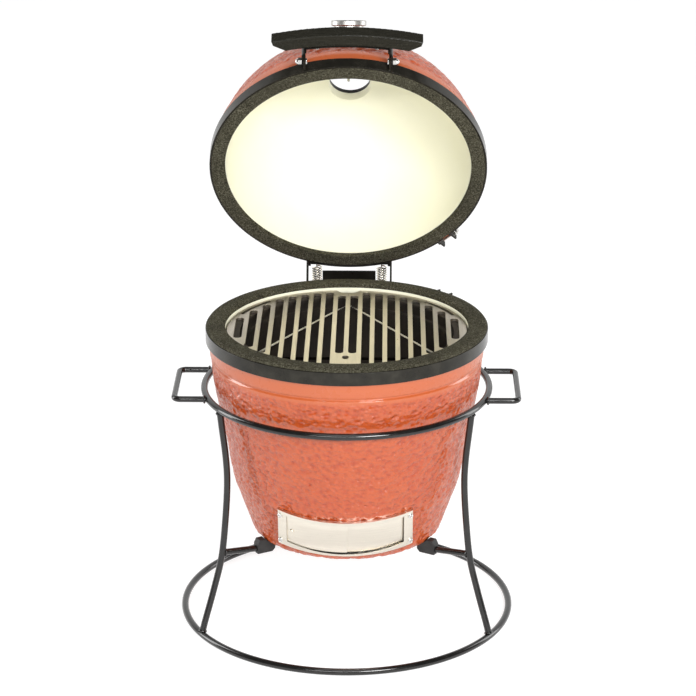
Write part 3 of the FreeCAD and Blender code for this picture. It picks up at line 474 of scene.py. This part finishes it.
def relief_tree():
    """Geometry nodes that press dimples into a glazed shell."""
    tree = bpy.data.node_groups.new("glaze_dimples", "GeometryNodeTree")
    face = tree.interface
    face.new_socket("Geometry", in_out="INPUT", socket_type="NodeSocketGeometry")
    face.new_socket("Cell Width", in_out="INPUT", socket_type="NodeSocketFloat")
    face.new_socket("Depth", in_out="INPUT", socket_type="NodeSocketFloat")
    face.new_socket("Geometry", in_out="OUTPUT", socket_type="NodeSocketGeometry")
    nodes = tree.nodes
    link = tree.links.new
    into = nodes.new("NodeGroupInput")
    out = nodes.new("NodeGroupOutput")
    place = nodes.new("GeometryNodeInputPosition")
    squash = nodes.new("ShaderNodeVectorMath")
    squash.operation = "MULTIPLY"
    squash.inputs[1].default_value = (1.0, 1.0, 1.3)
    link(place.outputs[0], squash.inputs[0])
    warp = nodes.new("ShaderNodeTexNoise")
    warp.inputs["Scale"].default_value = 42.0
    warp.inputs["Detail"].default_value = 2.0
    link(squash.outputs[0], warp.inputs["Vector"])
    lean = nodes.new("ShaderNodeVectorMath")
    lean.operation = "MULTIPLY_ADD"
    lean.inputs[1].default_value = (0.010, 0.010, 0.010)
    link(warp.outputs["Color"], lean.inputs[0])
    link(squash.outputs[0], lean.inputs[2])
    rate = nodes.new("ShaderNodeMath")
    rate.operation = "DIVIDE"
    rate.inputs[0].default_value = 1.0
    link(into.outputs["Cell Width"], rate.inputs[1])
    cells = nodes.new("ShaderNodeTexVoronoi")
    cells.feature = "SMOOTH_F1"
    cells.inputs["Smoothness"].default_value = 0.5
    link(lean.outputs[0], cells.inputs["Vector"])
    link(rate.outputs[0], cells.inputs["Scale"])
    bowl = nodes.new("ShaderNodeMapRange")
    bowl.interpolation_type = "SMOOTHSTEP"
    bowl.inputs["From Min"].default_value = 0.12
    bowl.inputs["From Max"].default_value = 0.68
    bowl.inputs["To Min"].default_value = -1.0
    bowl.inputs["To Max"].default_value = 0.0
    link(cells.outputs["Distance"], bowl.inputs["Value"])
    mask = nodes.new("GeometryNodeInputNamedAttribute")
    mask.data_type = "FLOAT"
    mask.inputs["Name"].default_value = "relief"
    gain = nodes.new("ShaderNodeMath")
    gain.operation = "MULTIPLY"
    link(bowl.outputs["Result"], gain.inputs[0])
    link(mask.outputs["Attribute"], gain.inputs[1])
    size = nodes.new("ShaderNodeMath")
    size.operation = "MULTIPLY"
    link(gain.outputs[0], size.inputs[0])
    link(into.outputs["Depth"], size.inputs[1])
    normal = nodes.new("GeometryNodeInputNormal")
    push = nodes.new("ShaderNodeVectorMath")
    push.operation = "SCALE"
    link(normal.outputs[0], push.inputs[0])
    link(size.outputs[0], push.inputs["Scale"])
    move = nodes.new("GeometryNodeSetPosition")
    link(into.outputs["Geometry"], move.inputs["Geometry"])
    link(push.outputs[0], move.inputs["Offset"])
    # stores the pit depth, which the glaze uses for pooled colour and for painted shade
    keep = nodes.new("GeometryNodeStoreNamedAttribute")
    keep.data_type = "FLOAT"
    keep.domain = "POINT"
    keep.inputs["Name"].default_value = "pool_and_shade"
    link(move.outputs[0], keep.inputs["Geometry"])
    link(gain.outputs[0], keep.inputs["Value"])
    link(keep.outputs[0], out.inputs["Geometry"])
    return tree


def set_input(mod, label, value):
    """Set a geometry nodes input by its identifier."""
    for item in mod.node_group.interface.items_tree:
        if item.item_type == "SOCKET" and item.in_out == "INPUT" and item.name == label:
            mod[item.identifier] = value


RELIEF = relief_tree()


def turned_shell(name, rows, columns, turn, hole=None):
    """Closed shell turned from rows of (radius, height, relief, material) round its axis.

    Rows run once round the wall's section. hole is (half angle, low, high) of an opening
    at the front, whose edges must lie on rows of both walls."""
    work = bmesh.new()
    relief = work.verts.layers.float.new("relief")
    rings = []
    for r, z, depth, _ in rows:
        if r < 1e-6:
            v = work.verts.new((0, 0, z * MM))
            v[relief] = depth
            rings.append([v] * columns)
            continue
        line = []
        for c in range(columns):
            a = 2 * math.pi * c / columns - math.pi / 2
            v = work.verts.new((r * MM * math.cos(a), r * MM * math.sin(a), z * MM))
            v[relief] = depth
            line.append(v)
        rings.append(line)
    count = len(rows)
    gone = set()
    for i in range(count):
        j = (i + 1) % count
        if rows[i][0] < 1e-6 and rows[j][0] < 1e-6:
            continue
        for c in range(columns):
            d = (c + 1) % columns
            if hole:
                half, low, high = hole
                mid = (c + 0.5) * 360.0 / columns
                mid = min(mid, 360.0 - mid)
                lo, hi = sorted((rows[i][1], rows[j][1]))
                if mid < half and lo >= low - 0.01 and hi <= high + 0.01 and hi - lo > 0.01:
                    gone.add((i, c))
                    continue
            quad = [rings[i][c], rings[i][d], rings[j][d], rings[j][c]]
            ring = []
            for v in quad:
                if v not in ring:
                    ring.append(v)
            if len(ring) < 3:
                continue
            face = work.faces.new(ring)
            face.material_index = rows[i][3]
    if hole:
        edges = [e for e in work.edges if len(e.link_faces) == 1]
        bmesh.ops.bridge_loops(work, edges=edges)
    bmesh.ops.recalc_face_normals(work, faces=work.faces)
    mesh = bpy.data.meshes.new(name)
    work.to_mesh(mesh)
    work.free()
    mesh.transform(turn)
    return mesh


def pressed(mesh, name, body, replaces):
    """Press the dimples into a shell and finish it as one piece."""
    for face in mesh.polygons:
        face.use_smooth = True
    mesh.materials.append(FINISH["glazed_shell"])
    mesh.materials.append(CREAM)
    piece = loose(mesh, name + "_work")
    mod = piece.modifiers.new("dimples", "NODES")
    mod.node_group = RELIEF
    set_input(mod, "Cell Width", GLAZE_CELL * MM)
    set_input(mod, "Depth", GLAZE_DEPTH * MM)
    done = baked(piece)
    bpy.data.objects.remove(piece)
    smooth(done, 45.0)
    return new_piece(name, done, body, replaces)


def bowl_shell():
    """Red bowl: smooth rim, groove, dimpled wall, cream inside, draft opening."""
    rows = []
    step = 2.3

    def out(points, depth, fade=None):
        for p in points:
            d = depth
            if fade:
                d = depth * max(0.0, min(1.0, fade(p)))
            rows.append((p[0], p[1], d, 0))

    out([(0, 123.5), (50, 123.5)], 0.0)
    floor = spline_points([(96, 123.5), (118, 125.3), (130, 128.6), WALL_FOOT], 3.0)
    out(floor[:-1], 1.0, lambda p: (p[0] - 100) / 25)
    corners = (WALL_FOOT, WINDOW_LOW, WINDOW_HIGH, WALL_KNEE)
    for a, b in zip(corners, corners[1:]):
        out(straight(a, b, step), 1.0)
    side = spline_points([WALL_KNEE, (169.6, 240), (176.4, 284.8), (184.9, 322.7),
                          (191.6, 360), (194.4, 391.0)], step)
    out(side, 1.0, lambda p: (388.0 - p[1]) / 4.0)
    out([(194.2, 391.8), (192.9, 392.8), (192.6, 393.4), (192.6, 395.2), (192.9, 395.9),
         (195.3, 396.9), (195.9, 397.8), (196.1, 401), (196.4, 409), (196.4, 416.6), (196.9, 417.3),
         (199.2, 418.3), (199.4, 419), (199.4, 434.6), (198.9, 435.2)], 0.0)
    inner = [(174.6, 435.2), (173.8, 434.6), (173.8, 418), (173.8, 400)]
    inner += [tuple(p) for p in spline_points(
        [(173.8, 400), (171.4, 360), (165.9, 322.7), (157.6, 284.8), (150.4, 240), (144.6, 209.3),
         (134.9, 184.0)], 14.0)[1:]]
    inner += [(129.0, 168.0), (122.3, 152.0), (115.0, 148.0), (100.0, 145.5), (50, 145.5), (0, 145.5)]
    rows.extend((r, z, 0.0, 1) for r, z in inner)
    window = (24.6, WINDOW_LOW[1], WINDOW_HIGH[1])
    mesh = turned_shell("bowl_shell", rows, SHELL_COLUMNS, Matrix.Identity(4), window)
    return pressed(mesh, "bowl_shell", BODY["ceramic_bowl"], ("ceramic_bowl",))


DOME_LOW, DOME_TOP, DOME_R, DOME_POWER = 20.25, 202.5, 195.4, 1.8


def dome_radius(h):
    """Radius of the dome's outside at a height above the lid's plane."""
    t = (h - DOME_LOW) / (DOME_TOP - DOME_LOW)
    return DOME_R * (1 - t ** DOME_POWER) ** (1 / DOME_POWER)


def dome_shell():
    """Red lid: smooth rim stripe, dimpled dome, chimney collar, cream inside."""
    rows = []
    base = LID_PLANE
    for r, h in ((180.0, 6.0), (198.9, 6.0), (199.4, 6.6), (199.4, 18.4), (199.0, 19.2),
                 (196.8, 20.0), (196.4, 20.8), (196.2, 28.0), (195.7, 38.6), (195.2, 39.6),
                 (193.4, 40.6), (192.9, 41.4), (193.3, 42.4)):
        rows.append((r, base + h, 0.0, 0))
    edge = [(dome_radius(h), base + h) for h in (43.25, 60, 80, 100, 120, 140, 155, 168, 178, 186,
                                                   192, 196.2)]
    for p in spline_points(edge, 2.3):
        h = p[1] - base
        depth = min(1.0, max(0.0, (h - 44.0) / 4.0)) * min(1.0, max(0.0, (195.0 - h) / 5.0))
        rows.append((p[0], p[1], depth, 0))
    top = rows[-1][0]
    for r, h in ((top, 198.9), (top - 0.6, 199.5), (32.0, 199.5)):
        rows.append((r, base + h, 0.0, 0))
    rows.extend(((31.4, base + 199.0, 0.0, 1), (31.4, base + 184.0, 0.0, 1)))
    for h in (183.2, 178, 170, 158, 140, 120, 95, 70, 45, 20, 8.0, 6.4):
        t = max(0.0, (h - 4.0) / 183.0)
        rows.append((178.5 * (1 - t * t) ** 0.5, base + h, 0.0, 1))
    mesh = turned_shell("dome_shell", rows, SHELL_COLUMNS, LID_TURN)
    return pressed(mesh, "dome_shell", BODY["ceramic_dome"], ("ceramic_dome",))


# ---------------------------------------------------------------- rods, springs, small repeats

def rod_tree():
    """Geometry nodes that give a run of rod its thickness."""
    tree = bpy.data.node_groups.new("rod_stock", "GeometryNodeTree")
    face = tree.interface
    face.new_socket("Geometry", in_out="INPUT", socket_type="NodeSocketGeometry")
    face.new_socket("Radius", in_out="INPUT", socket_type="NodeSocketFloat")
    face.new_socket("Sides", in_out="INPUT", socket_type="NodeSocketInt")
    face.new_socket("Paint", in_out="INPUT", socket_type="NodeSocketMaterial")
    face.new_socket("Geometry", in_out="OUTPUT", socket_type="NodeSocketGeometry")
    nodes = tree.nodes
    link = tree.links.new
    into = nodes.new("NodeGroupInput")
    out = nodes.new("NodeGroupOutput")
    section = nodes.new("GeometryNodeCurvePrimitiveCircle")
    link(into.outputs["Sides"], section.inputs["Resolution"])
    link(into.outputs["Radius"], section.inputs["Radius"])
    skin = nodes.new("GeometryNodeCurveToMesh")
    skin.inputs["Fill Caps"].default_value = True
    link(into.outputs["Geometry"], skin.inputs["Curve"])
    link(section.outputs["Curve"], skin.inputs["Profile Curve"])
    shade = nodes.new("GeometryNodeSetShadeSmooth")
    link(skin.outputs[0], shade.inputs["Geometry"])
    paint = nodes.new("GeometryNodeSetMaterial")
    link(shade.outputs[0], paint.inputs["Geometry"])
    link(into.outputs["Paint"], paint.inputs["Material"])
    real = nodes.new("GeometryNodeRealizeInstances")
    link(paint.outputs[0], real.inputs[0])
    link(real.outputs[0], out.inputs["Geometry"])
    return tree


ROD_STOCK = rod_tree()


def rod(runs, radius, paint, sides=20, closed=False):
    """Mesh of round rod along one or more runs of points in millimetres."""
    curve = bpy.data.curves.new("run", "CURVE")
    curve.dimensions = "3D"
    for points in runs:
        line = curve.splines.new("POLY")
        line.points.add(len(points) - 1)
        for spot, p in zip(line.points, points):
            spot.co = (p[0] * MM, p[1] * MM, p[2] * MM, 1.0)
        line.use_cyclic_u = closed
    piece = bpy.data.objects.new("run", curve)
    bpy.context.scene.collection.objects.link(piece)
    mod = piece.modifiers.new("stock", "NODES")
    mod.node_group = ROD_STOCK
    set_input(mod, "Radius", radius * MM)
    set_input(mod, "Sides", sides)
    set_input(mod, "Paint", paint)
    mesh = baked(piece)
    bpy.data.objects.remove(piece)
    return mesh


def hoop(radius, z, count):
    """Evenly spaced points round a level circle."""
    turns = [2 * math.pi * k / count for k in range(count)]
    return [(radius * math.cos(a), radius * math.sin(a), z) for a in turns]


LEG_LINE = ((239.0, 5.0), (234.4, 22.0), (218.3, 72.8), (205.4, 120.0), (198.6, 174.8),
            (194.8, 229.6), (196.2, 270.0), (202.0, 320.0), (204.9, 345.0))


def at_angle(r, z, angle, side=0.0):
    """Point at a radius and height, at an angle from the front toward +X."""
    a = math.radians(angle)
    return (r * math.sin(a) + side * math.cos(a), -r * math.cos(a) + side * math.sin(a), z)


def stand():
    """Base ring, upper ring, legs, struts and hand loops as smooth rod."""
    paint = FINISH["stand_paint"]
    ring_rod, leg_rod, strut_rod, handle_rod = 4.98, 4.8, 4.6, 4.3
    for name, (r, z) in (("base_ring", BASE_RING), ("upper_ring", UPPER_RING)):
        mesh = rod([hoop(r, z, 240)], ring_rod, paint, 24, True)
        new_piece(name + "_rod", mesh, "grill", (name,))
    line = spline_points(LEG_LINE, 8.0)
    for name, angle in (("front_left", -60.0), ("front_right", 60.0), ("rear", 180.0)):
        run = [at_angle(p[0], p[1], angle) for p in line if 8.5 < p[1] < 341.5]
        mesh = rod([run], leg_rod, paint)
        new_piece("leg_" + name + "_rod", mesh, "grill", ("leg_" + name,))
        run = [at_angle(r, z, angle) for r, z in ((203.0, 125.85), (172.0, 122.8), (141.0, 119.7))]
        mesh = rod([run], strut_rod, paint)
        new_piece("strut_" + name + "_rod", mesh, "grill", ("strut_" + name,))
    bend, out, level = 9, 245, UPPER_RING[1]
    for name, side in (("right", 1), ("left", -1)):
        points = [(side * 199.5, HANDLE_ROOT, level), (side * 220, HANDLE_ROOT, level)]
        for k in range(9):
            a = math.radians(90 * k / 8)
            points.append((side * (out - bend + bend * math.sin(a)),
                           HANDLE_ROOT - bend + bend * math.cos(a), level))
        points.append((side * out, 20, level))
        points += [(x, -y, z) for x, y, z in reversed(points)]
        mesh = rod([points], handle_rod, paint)
        node = "carry_handle_" + name
        new_piece(node + "_rod", mesh, "grill", (node,))


def wire_rack():
    """Triangle of bright wire under the cooking grate."""
    reach, bend, z = 157.5, 8.0, 414.0
    centre = reach - 2 * bend
    points = []
    for corner in (-30.0, 90.0, 210.0):
        cx = centre * math.cos(math.radians(corner))
        cy = centre * math.sin(math.radians(corner))
        for k in range(9):
            a = math.radians(corner - 60.0 + 15.0 * k)
            points.append((cx + bend * math.cos(a), cy + bend * math.sin(a), z))
    mesh = rod([points], 1.98, RACK_WIRE, 16, True)
    new_piece("wire_rack_rod", mesh, "grill", ("wire_rack",))


def plate_spot(x, height, out):
    """Point on the leaning plate, in metres, at an offset from its inner radius."""
    r = PLATE_R + out
    return PLATE_TURN @ Vector((x * MM, -math.sqrt(r * r - x * x) * MM, height * MM))


def rolled_sheet(x0, x1, low, high, face, thick):
    """Sheet rolled like the draft plate, its outer face at an offset."""
    columns = max(2, round((x1 - x0) / 2.0))
    work = bmesh.new()
    grid = []
    for i in range(columns + 1):
        x = x0 + (x1 - x0) * i / columns
        grid.append([work.verts.new(plate_spot(x, low + (high - low) * k / 4, face)) for k in range(5)])
    for a, b in zip(grid, grid[1:]):
        for k in range(4):
            work.faces.new((a[k], b[k], b[k + 1], a[k + 1]))
    bmesh.ops.recalc_face_normals(work, faces=work.faces)
    if grid[0][0].link_faces[0].normal.y > 0:
        bmesh.ops.reverse_faces(work, faces=work.faces)
    mesh = bpy.data.meshes.new("sheet")
    work.to_mesh(mesh)
    work.free()
    mesh.materials.append(FINISH["draft_steel"])
    piece = loose(mesh, "sheet_work")
    body = piece.modifiers.new("gauge", "SOLIDIFY")
    body.thickness = thick * MM
    body.offset = -1.0
    edge = piece.modifiers.new("edge", "BEVEL")
    edge.width = 0.25 * MM
    edge.segments = 2
    edge.limit_method = "ANGLE"
    done = baked(piece)
    bpy.data.objects.remove(piece)
    smooth(done, 40.0)
    return done


def joined(meshes, name):
    """One mesh from several that share a finish."""
    work = bmesh.new()
    for mesh in meshes:
        work.from_mesh(mesh)
    out = bpy.data.meshes.new(name)
    work.to_mesh(out)
    work.free()
    out.materials.append(meshes[0].materials[0])
    return out


def draft_sheets():
    """Fixed right half, and the sliding left half with its finger loop."""
    low, high = -20.7, 32.5
    fixed = rolled_sheet(-5.0, 85.9, low, high, 1.95, 1.2)
    new_piece("draft_fixed_panel_sheet", fixed, "grill", ("draft_fixed_panel",))
    door = rolled_sheet(-84.0, 3.0, low, high, 3.65, 1.3)
    loop = []
    for k in range(17):
        a = math.radians(-25.0 + 230.0 * k / 16)
        spot = plate_spot(-76.5 + 2.7 * math.cos(a), 3.0 + 3.0 * math.sin(a), 4.2)
        loop.append(tuple(spot / MM))
    arch = rod([loop], 0.75, FINISH["draft_steel"], 12)
    new_piece("draft_door_sheet", joined([door, arch], "draft_door_sheet"), "draft_door",
              ("draft_door",))


def bead_tree():
    """Geometry nodes that lay a ring of weld at each point."""
    tree = bpy.data.node_groups.new("weld_beads", "GeometryNodeTree")
    face = tree.interface
    face.new_socket("Geometry", in_out="INPUT", socket_type="NodeSocketGeometry")
    face.new_socket("Ring Radius", in_out="INPUT", socket_type="NodeSocketFloat")
    face.new_socket("Bead Radius", in_out="INPUT", socket_type="NodeSocketFloat")
    face.new_socket("Paint", in_out="INPUT", socket_type="NodeSocketMaterial")
    face.new_socket("Geometry", in_out="OUTPUT", socket_type="NodeSocketGeometry")
    nodes = tree.nodes
    link = tree.links.new
    into = nodes.new("NodeGroupInput")
    out = nodes.new("NodeGroupOutput")
    ring = nodes.new("GeometryNodeCurvePrimitiveCircle")
    ring.inputs["Resolution"].default_value = 28
    link(into.outputs["Ring Radius"], ring.inputs["Radius"])
    section = nodes.new("GeometryNodeCurvePrimitiveCircle")
    section.inputs["Resolution"].default_value = 10
    link(into.outputs["Bead Radius"], section.inputs["Radius"])
    skin = nodes.new("GeometryNodeCurveToMesh")
    link(ring.outputs["Curve"], skin.inputs["Curve"])
    link(section.outputs["Curve"], skin.inputs["Profile Curve"])
    spots = nodes.new("GeometryNodeInstanceOnPoints")
    link(into.outputs["Geometry"], spots.inputs["Points"])
    link(skin.outputs[0], spots.inputs["Instance"])
    lean = nodes.new("GeometryNodeInputNamedAttribute")
    lean.data_type = "FLOAT_VECTOR"
    lean.inputs["Name"].default_value = "along"
    aim = nodes.new("FunctionNodeAlignRotationToVector")
    aim.axis = "Z"
    link(lean.outputs["Attribute"], aim.inputs["Vector"])
    link(aim.outputs[0], spots.inputs["Rotation"])
    real = nodes.new("GeometryNodeRealizeInstances")
    link(spots.outputs[0], real.inputs[0])
    rough = nodes.new("ShaderNodeTexNoise")
    rough.inputs["Scale"].default_value = 520.0
    middle = nodes.new("ShaderNodeVectorMath")
    middle.operation = "SUBTRACT"
    middle.inputs[1].default_value = (0.5, 0.5, 0.5)
    link(rough.outputs["Color"], middle.inputs[0])
    small = nodes.new("ShaderNodeVectorMath")
    small.operation = "SCALE"
    small.inputs["Scale"].default_value = 0.0012
    link(middle.outputs[0], small.inputs[0])
    move = nodes.new("GeometryNodeSetPosition")
    link(real.outputs[0], move.inputs["Geometry"])
    link(small.outputs[0], move.inputs["Offset"])
    shade = nodes.new("GeometryNodeSetShadeSmooth")
    link(move.outputs[0], shade.inputs["Geometry"])
    paint = nodes.new("GeometryNodeSetMaterial")
    link(shade.outputs[0], paint.inputs["Geometry"])
    link(into.outputs["Paint"], paint.inputs["Material"])
    link(paint.outputs[0], out.inputs["Geometry"])
    return tree


def weld_beads():
    """Painted weld where each leg, strut and hand loop meets its neighbour."""
    spots = []
    for angle in (-60.0, 60.0, 180.0):
        spots.append((at_angle(204.2, 339.6, angle), at_angle(0.12, 1.0, angle)))
        spots.append((at_angle(237.9, 10.2, angle), at_angle(-0.28, 1.0, angle)))
        spots.append((at_angle(200.1, 125.6, angle), at_angle(1.0, 0.1, angle)))
    for side in (-1, 1):
        for y in (-HANDLE_ROOT, HANDLE_ROOT):
            spots.append(((side * 201.6, y, UPPER_RING[1]), (1.0, 0.0, 0.0)))
    mesh = bpy.data.meshes.new("weld_spots")
    mesh.from_pydata([tuple(c * MM for c in p) for p, _ in spots], [], [])
    lean = mesh.attributes.new("along", "FLOAT_VECTOR", "POINT")
    for item, (_, along) in zip(lean.data, spots):
        item.vector = along
    piece = loose(mesh, "weld_work")
    mod = piece.modifiers.new("beads", "NODES")
    mod.node_group = bead_tree()
    set_input(mod, "Ring Radius", 4.9 * MM)
    set_input(mod, "Bead Radius", 1.5 * MM)
    set_input(mod, "Paint", FINISH["stand_paint"])
    done = baked(piece)
    bpy.data.objects.remove(piece)
    new_piece("weld_beads", done, "grill")


def springs():
    """Two extension springs between the bowl's and the lid's pins."""
    r, wire, turns, neck = 6.9, 1.15, 13, 6.0
    low, top = 388.0, 449.6
    z0, z1 = low + neck, top - neck
    count = turns * 20
    for name, x in (("left", -SPRING_X), ("right", SPRING_X)):
        coil = []
        for k in range(count + 1):
            a = 2 * math.pi * k / 20 + math.pi / 2
            coil.append((x + r * math.cos(a), SPRING_Y + r * math.sin(a), z0 + (z1 - z0) * k / count))
        runs = [coil]
        for end, sign in ((low, 1), (top, -1)):
            loop = [(x, SPRING_Y + r, end + sign * neck)]
            for k in range(25):
                a = 2 * math.pi * k / 26
                loop.append((x, SPRING_Y + r * math.cos(a), end - sign * r * math.sin(a)))
            runs.append(loop)
        mesh = rod(runs, wire, FINISH["spring_wire"], 10)
        node = "hinge_spring_" + name
        piece = new_piece(node + "_coil", mesh, None, (node,))
        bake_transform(piece)


def dial_marks():
    """Plain ticks round the thermometer dial."""
    spot = dome_point(41.4)
    out = bmesh.new()
    for k in range(41):
        a = math.radians(-135 + 270 * k / 40)
        long = k % 5 == 0
        r0 = 15.6 if long else 17.8
        wide = 0.45 if long else 0.25
        corners = []
        for r, w in ((r0, -wide), (20.4, -wide), (20.4, wide), (r0, wide)):
            p = Vector((r * math.sin(a) + w * math.cos(a), r * math.cos(a) - w * math.sin(a), 17.0))
            corners.append(p)
        low = [out.verts.new(p * MM) for p in corners]
        high = [out.verts.new((p + Vector((0, 0, 0.12))) * MM) for p in corners]
        out.faces.new(list(reversed(low)))
        out.faces.new(high)
        for i in range(4):
            j = (i + 1) % 4
            out.faces.new((low[i], low[j], high[j], high[i]))
    bmesh.ops.recalc_face_normals(out, faces=out.faces)
    mesh = bpy.data.meshes.new("dial_marks")
    out.to_mesh(mesh)
    out.free()
    mesh.materials.append(DIAL_INK)
    mesh.transform(LID_TURN @ spot)
    new_piece("dial_marks", mesh, "lid")


def dome_point(angle):
    """Place and tilt of a fitting on the shut dome whose normal is at an angle above level."""
    c, s = math.cos(math.radians(angle)), math.sin(math.radians(angle))
    heights = [DOME_LOW + 0.2 * i for i in range(1, 900)]
    best = max((dome_radius(h) * c + h * s, h) for h in heights)[1]
    return (Matrix.Translation((0, -dome_radius(best) * MM, (LID_PLANE + best) * MM))
            @ Matrix.Rotation(math.radians(90 - angle), 4, "X"))


# ---------------------------------------------------------------- set and camera

def studio():
    """Pale floor and sweep, soft boxes and an even white surround."""
    work = bmesh.new()
    side = []
    for y, z in ((-6.0, 0.0), (3.2, 0.0), (3.9, 0.15), (4.4, 0.6), (4.6, 1.3), (4.6, 6.0)):
        side.append((work.verts.new((-7.0, y, z)), work.verts.new((7.0, y, z))))
    for a, b in zip(side, side[1:]):
        work.faces.new((a[0], a[1], b[1], b[0]))
    mesh = bpy.data.meshes.new("floor")
    work.to_mesh(mesh)
    work.free()
    for face in mesh.polygons:
        face.use_smooth = True
    f = Finish("pale_floor", (0.36, 0.36, 0.36), 0.85, Specular_IOR_Level=0.1,
               Emission_Color=(1.0, 1.0, 1.0, 1.0), Emission_Strength=0.78)
    f.join(f.ramp(f.noise(3.0, 3.0), [(0.3, (0.37, 0.37, 0.37)), (0.8, (0.35, 0.35, 0.35))]),
           "Base Color")
    mesh.materials.append(f.mat)
    floor = loose(mesh, "floor")

    world = bpy.data.worlds.new("surround")
    world.use_nodes = True
    world.node_tree.nodes["Background"].inputs["Color"].default_value = (1.0, 1.0, 1.0, 1.0)
    world.node_tree.nodes["Background"].inputs["Strength"].default_value = 0.12
    bpy.context.scene.world = world

    for name, spot, aim, size, power in (
            ("key", (1.3, -3.3, 2.0), (0, 0, 0.4), (1.2, 1.0), 114.0),
            ("strip", (-0.4, -3.9, 2.15), (0, 0, 0.4), (2.8, 0.3), 70.0),
            ("left", (-2.4, 0.5, 1.0), (0, 0, 0.4), (0.8, 2.2), 36.0),
            ("right", (2.4, 0.9, 1.0), (0, 0, 0.4), (0.8, 2.2), 26.0),
            ("top", (0.0, -1.0, 3.2), (0, 0.0, 0.4), (1.6, 0.9), 14.0)):
        lamp = bpy.data.lights.new(name, "AREA")
        lamp.shape = "RECTANGLE"
        lamp.size, lamp.size_y = size
        lamp.energy = power
        light = bpy.data.objects.new(name, lamp)
        light.location = spot
        light.rotation_euler = (Vector(aim) - Vector(spot)).to_track_quat("-Z", "Y").to_euler()
        bpy.context.scene.collection.objects.link(light)
    bpy.context.scene.view_settings.view_transform = "Standard"


def camera():
    """Long lens from the front, a little above."""
    data = bpy.data.cameras.new("camera")
    data.sensor_width = 36.0
    data.lens = 141.79
    data.shift_x = 0.00178
    data.clip_end = 50.0
    reach, height = 3.7035, 1.7251
    turn = math.radians(0.882)
    tilt = math.radians(90.0 - 19.664)
    eye = bpy.data.objects.new("camera", data)
    eye.location = (reach * math.sin(turn), -reach * math.cos(turn), height)
    eye.rotation_euler = (tilt, 0.0, turn)
    bpy.context.scene.collection.objects.link(eye)
    bpy.context.scene.camera = eye


camera()
studio()

replaced = {"base_ring", "upper_ring", "wire_rack", "draft_door", "draft_fixed_panel",
            "ceramic_bowl", "ceramic_dome", "hinge_spring_left", "hinge_spring_right"}
replaced |= {n for n in NODES if n.startswith(("leg_", "strut_", "carry_handle_"))}

bowl_shell()
dome_shell()
stand()
weld_beads()
springs()
wire_rack()
draft_sheets()
dial_marks()

EDGE = {
    "bowl_band": 0.5, "dome_band": 0.5, "cooking_grate": 0.45, "draft_frame": 0.3,
    "hinge_base": 0.4, "hinge_lid_bracket": 0.4, "handle_bracket": 0.4,
    "charcoal_grate": 0.8, "fire_ring": 1.5, "firebox": 1.5, "bumper_front_left": 1.0,
    "bumper_front_right": 1.0, "bumper_rear": 1.0, "bowl_band_bolt": 0.35, "dome_band_bolt": 0.35,
    "hinge_bolts": 0.35, "hinge_nuts": 0.3, "handle_bolts": 0.35, "handle_nuts": 0.3,
    "thermometer_bezel": 0.3, "thermometer_body": 0.4, "thermometer_nut": 0.3, "vent_base": 0.7,
    "vent_disc": 0.4, "vent_pivot": 0.4, "vent_knob": 0.5,
}
for node, width in EDGE.items():
    softened(node, width)
    replaced.add(node)

for node, piece in NODES.items():
    if node in replaced:
        continue
    for slot in piece.material_slots:
        slot.material = FINISH[SLOT[node]]
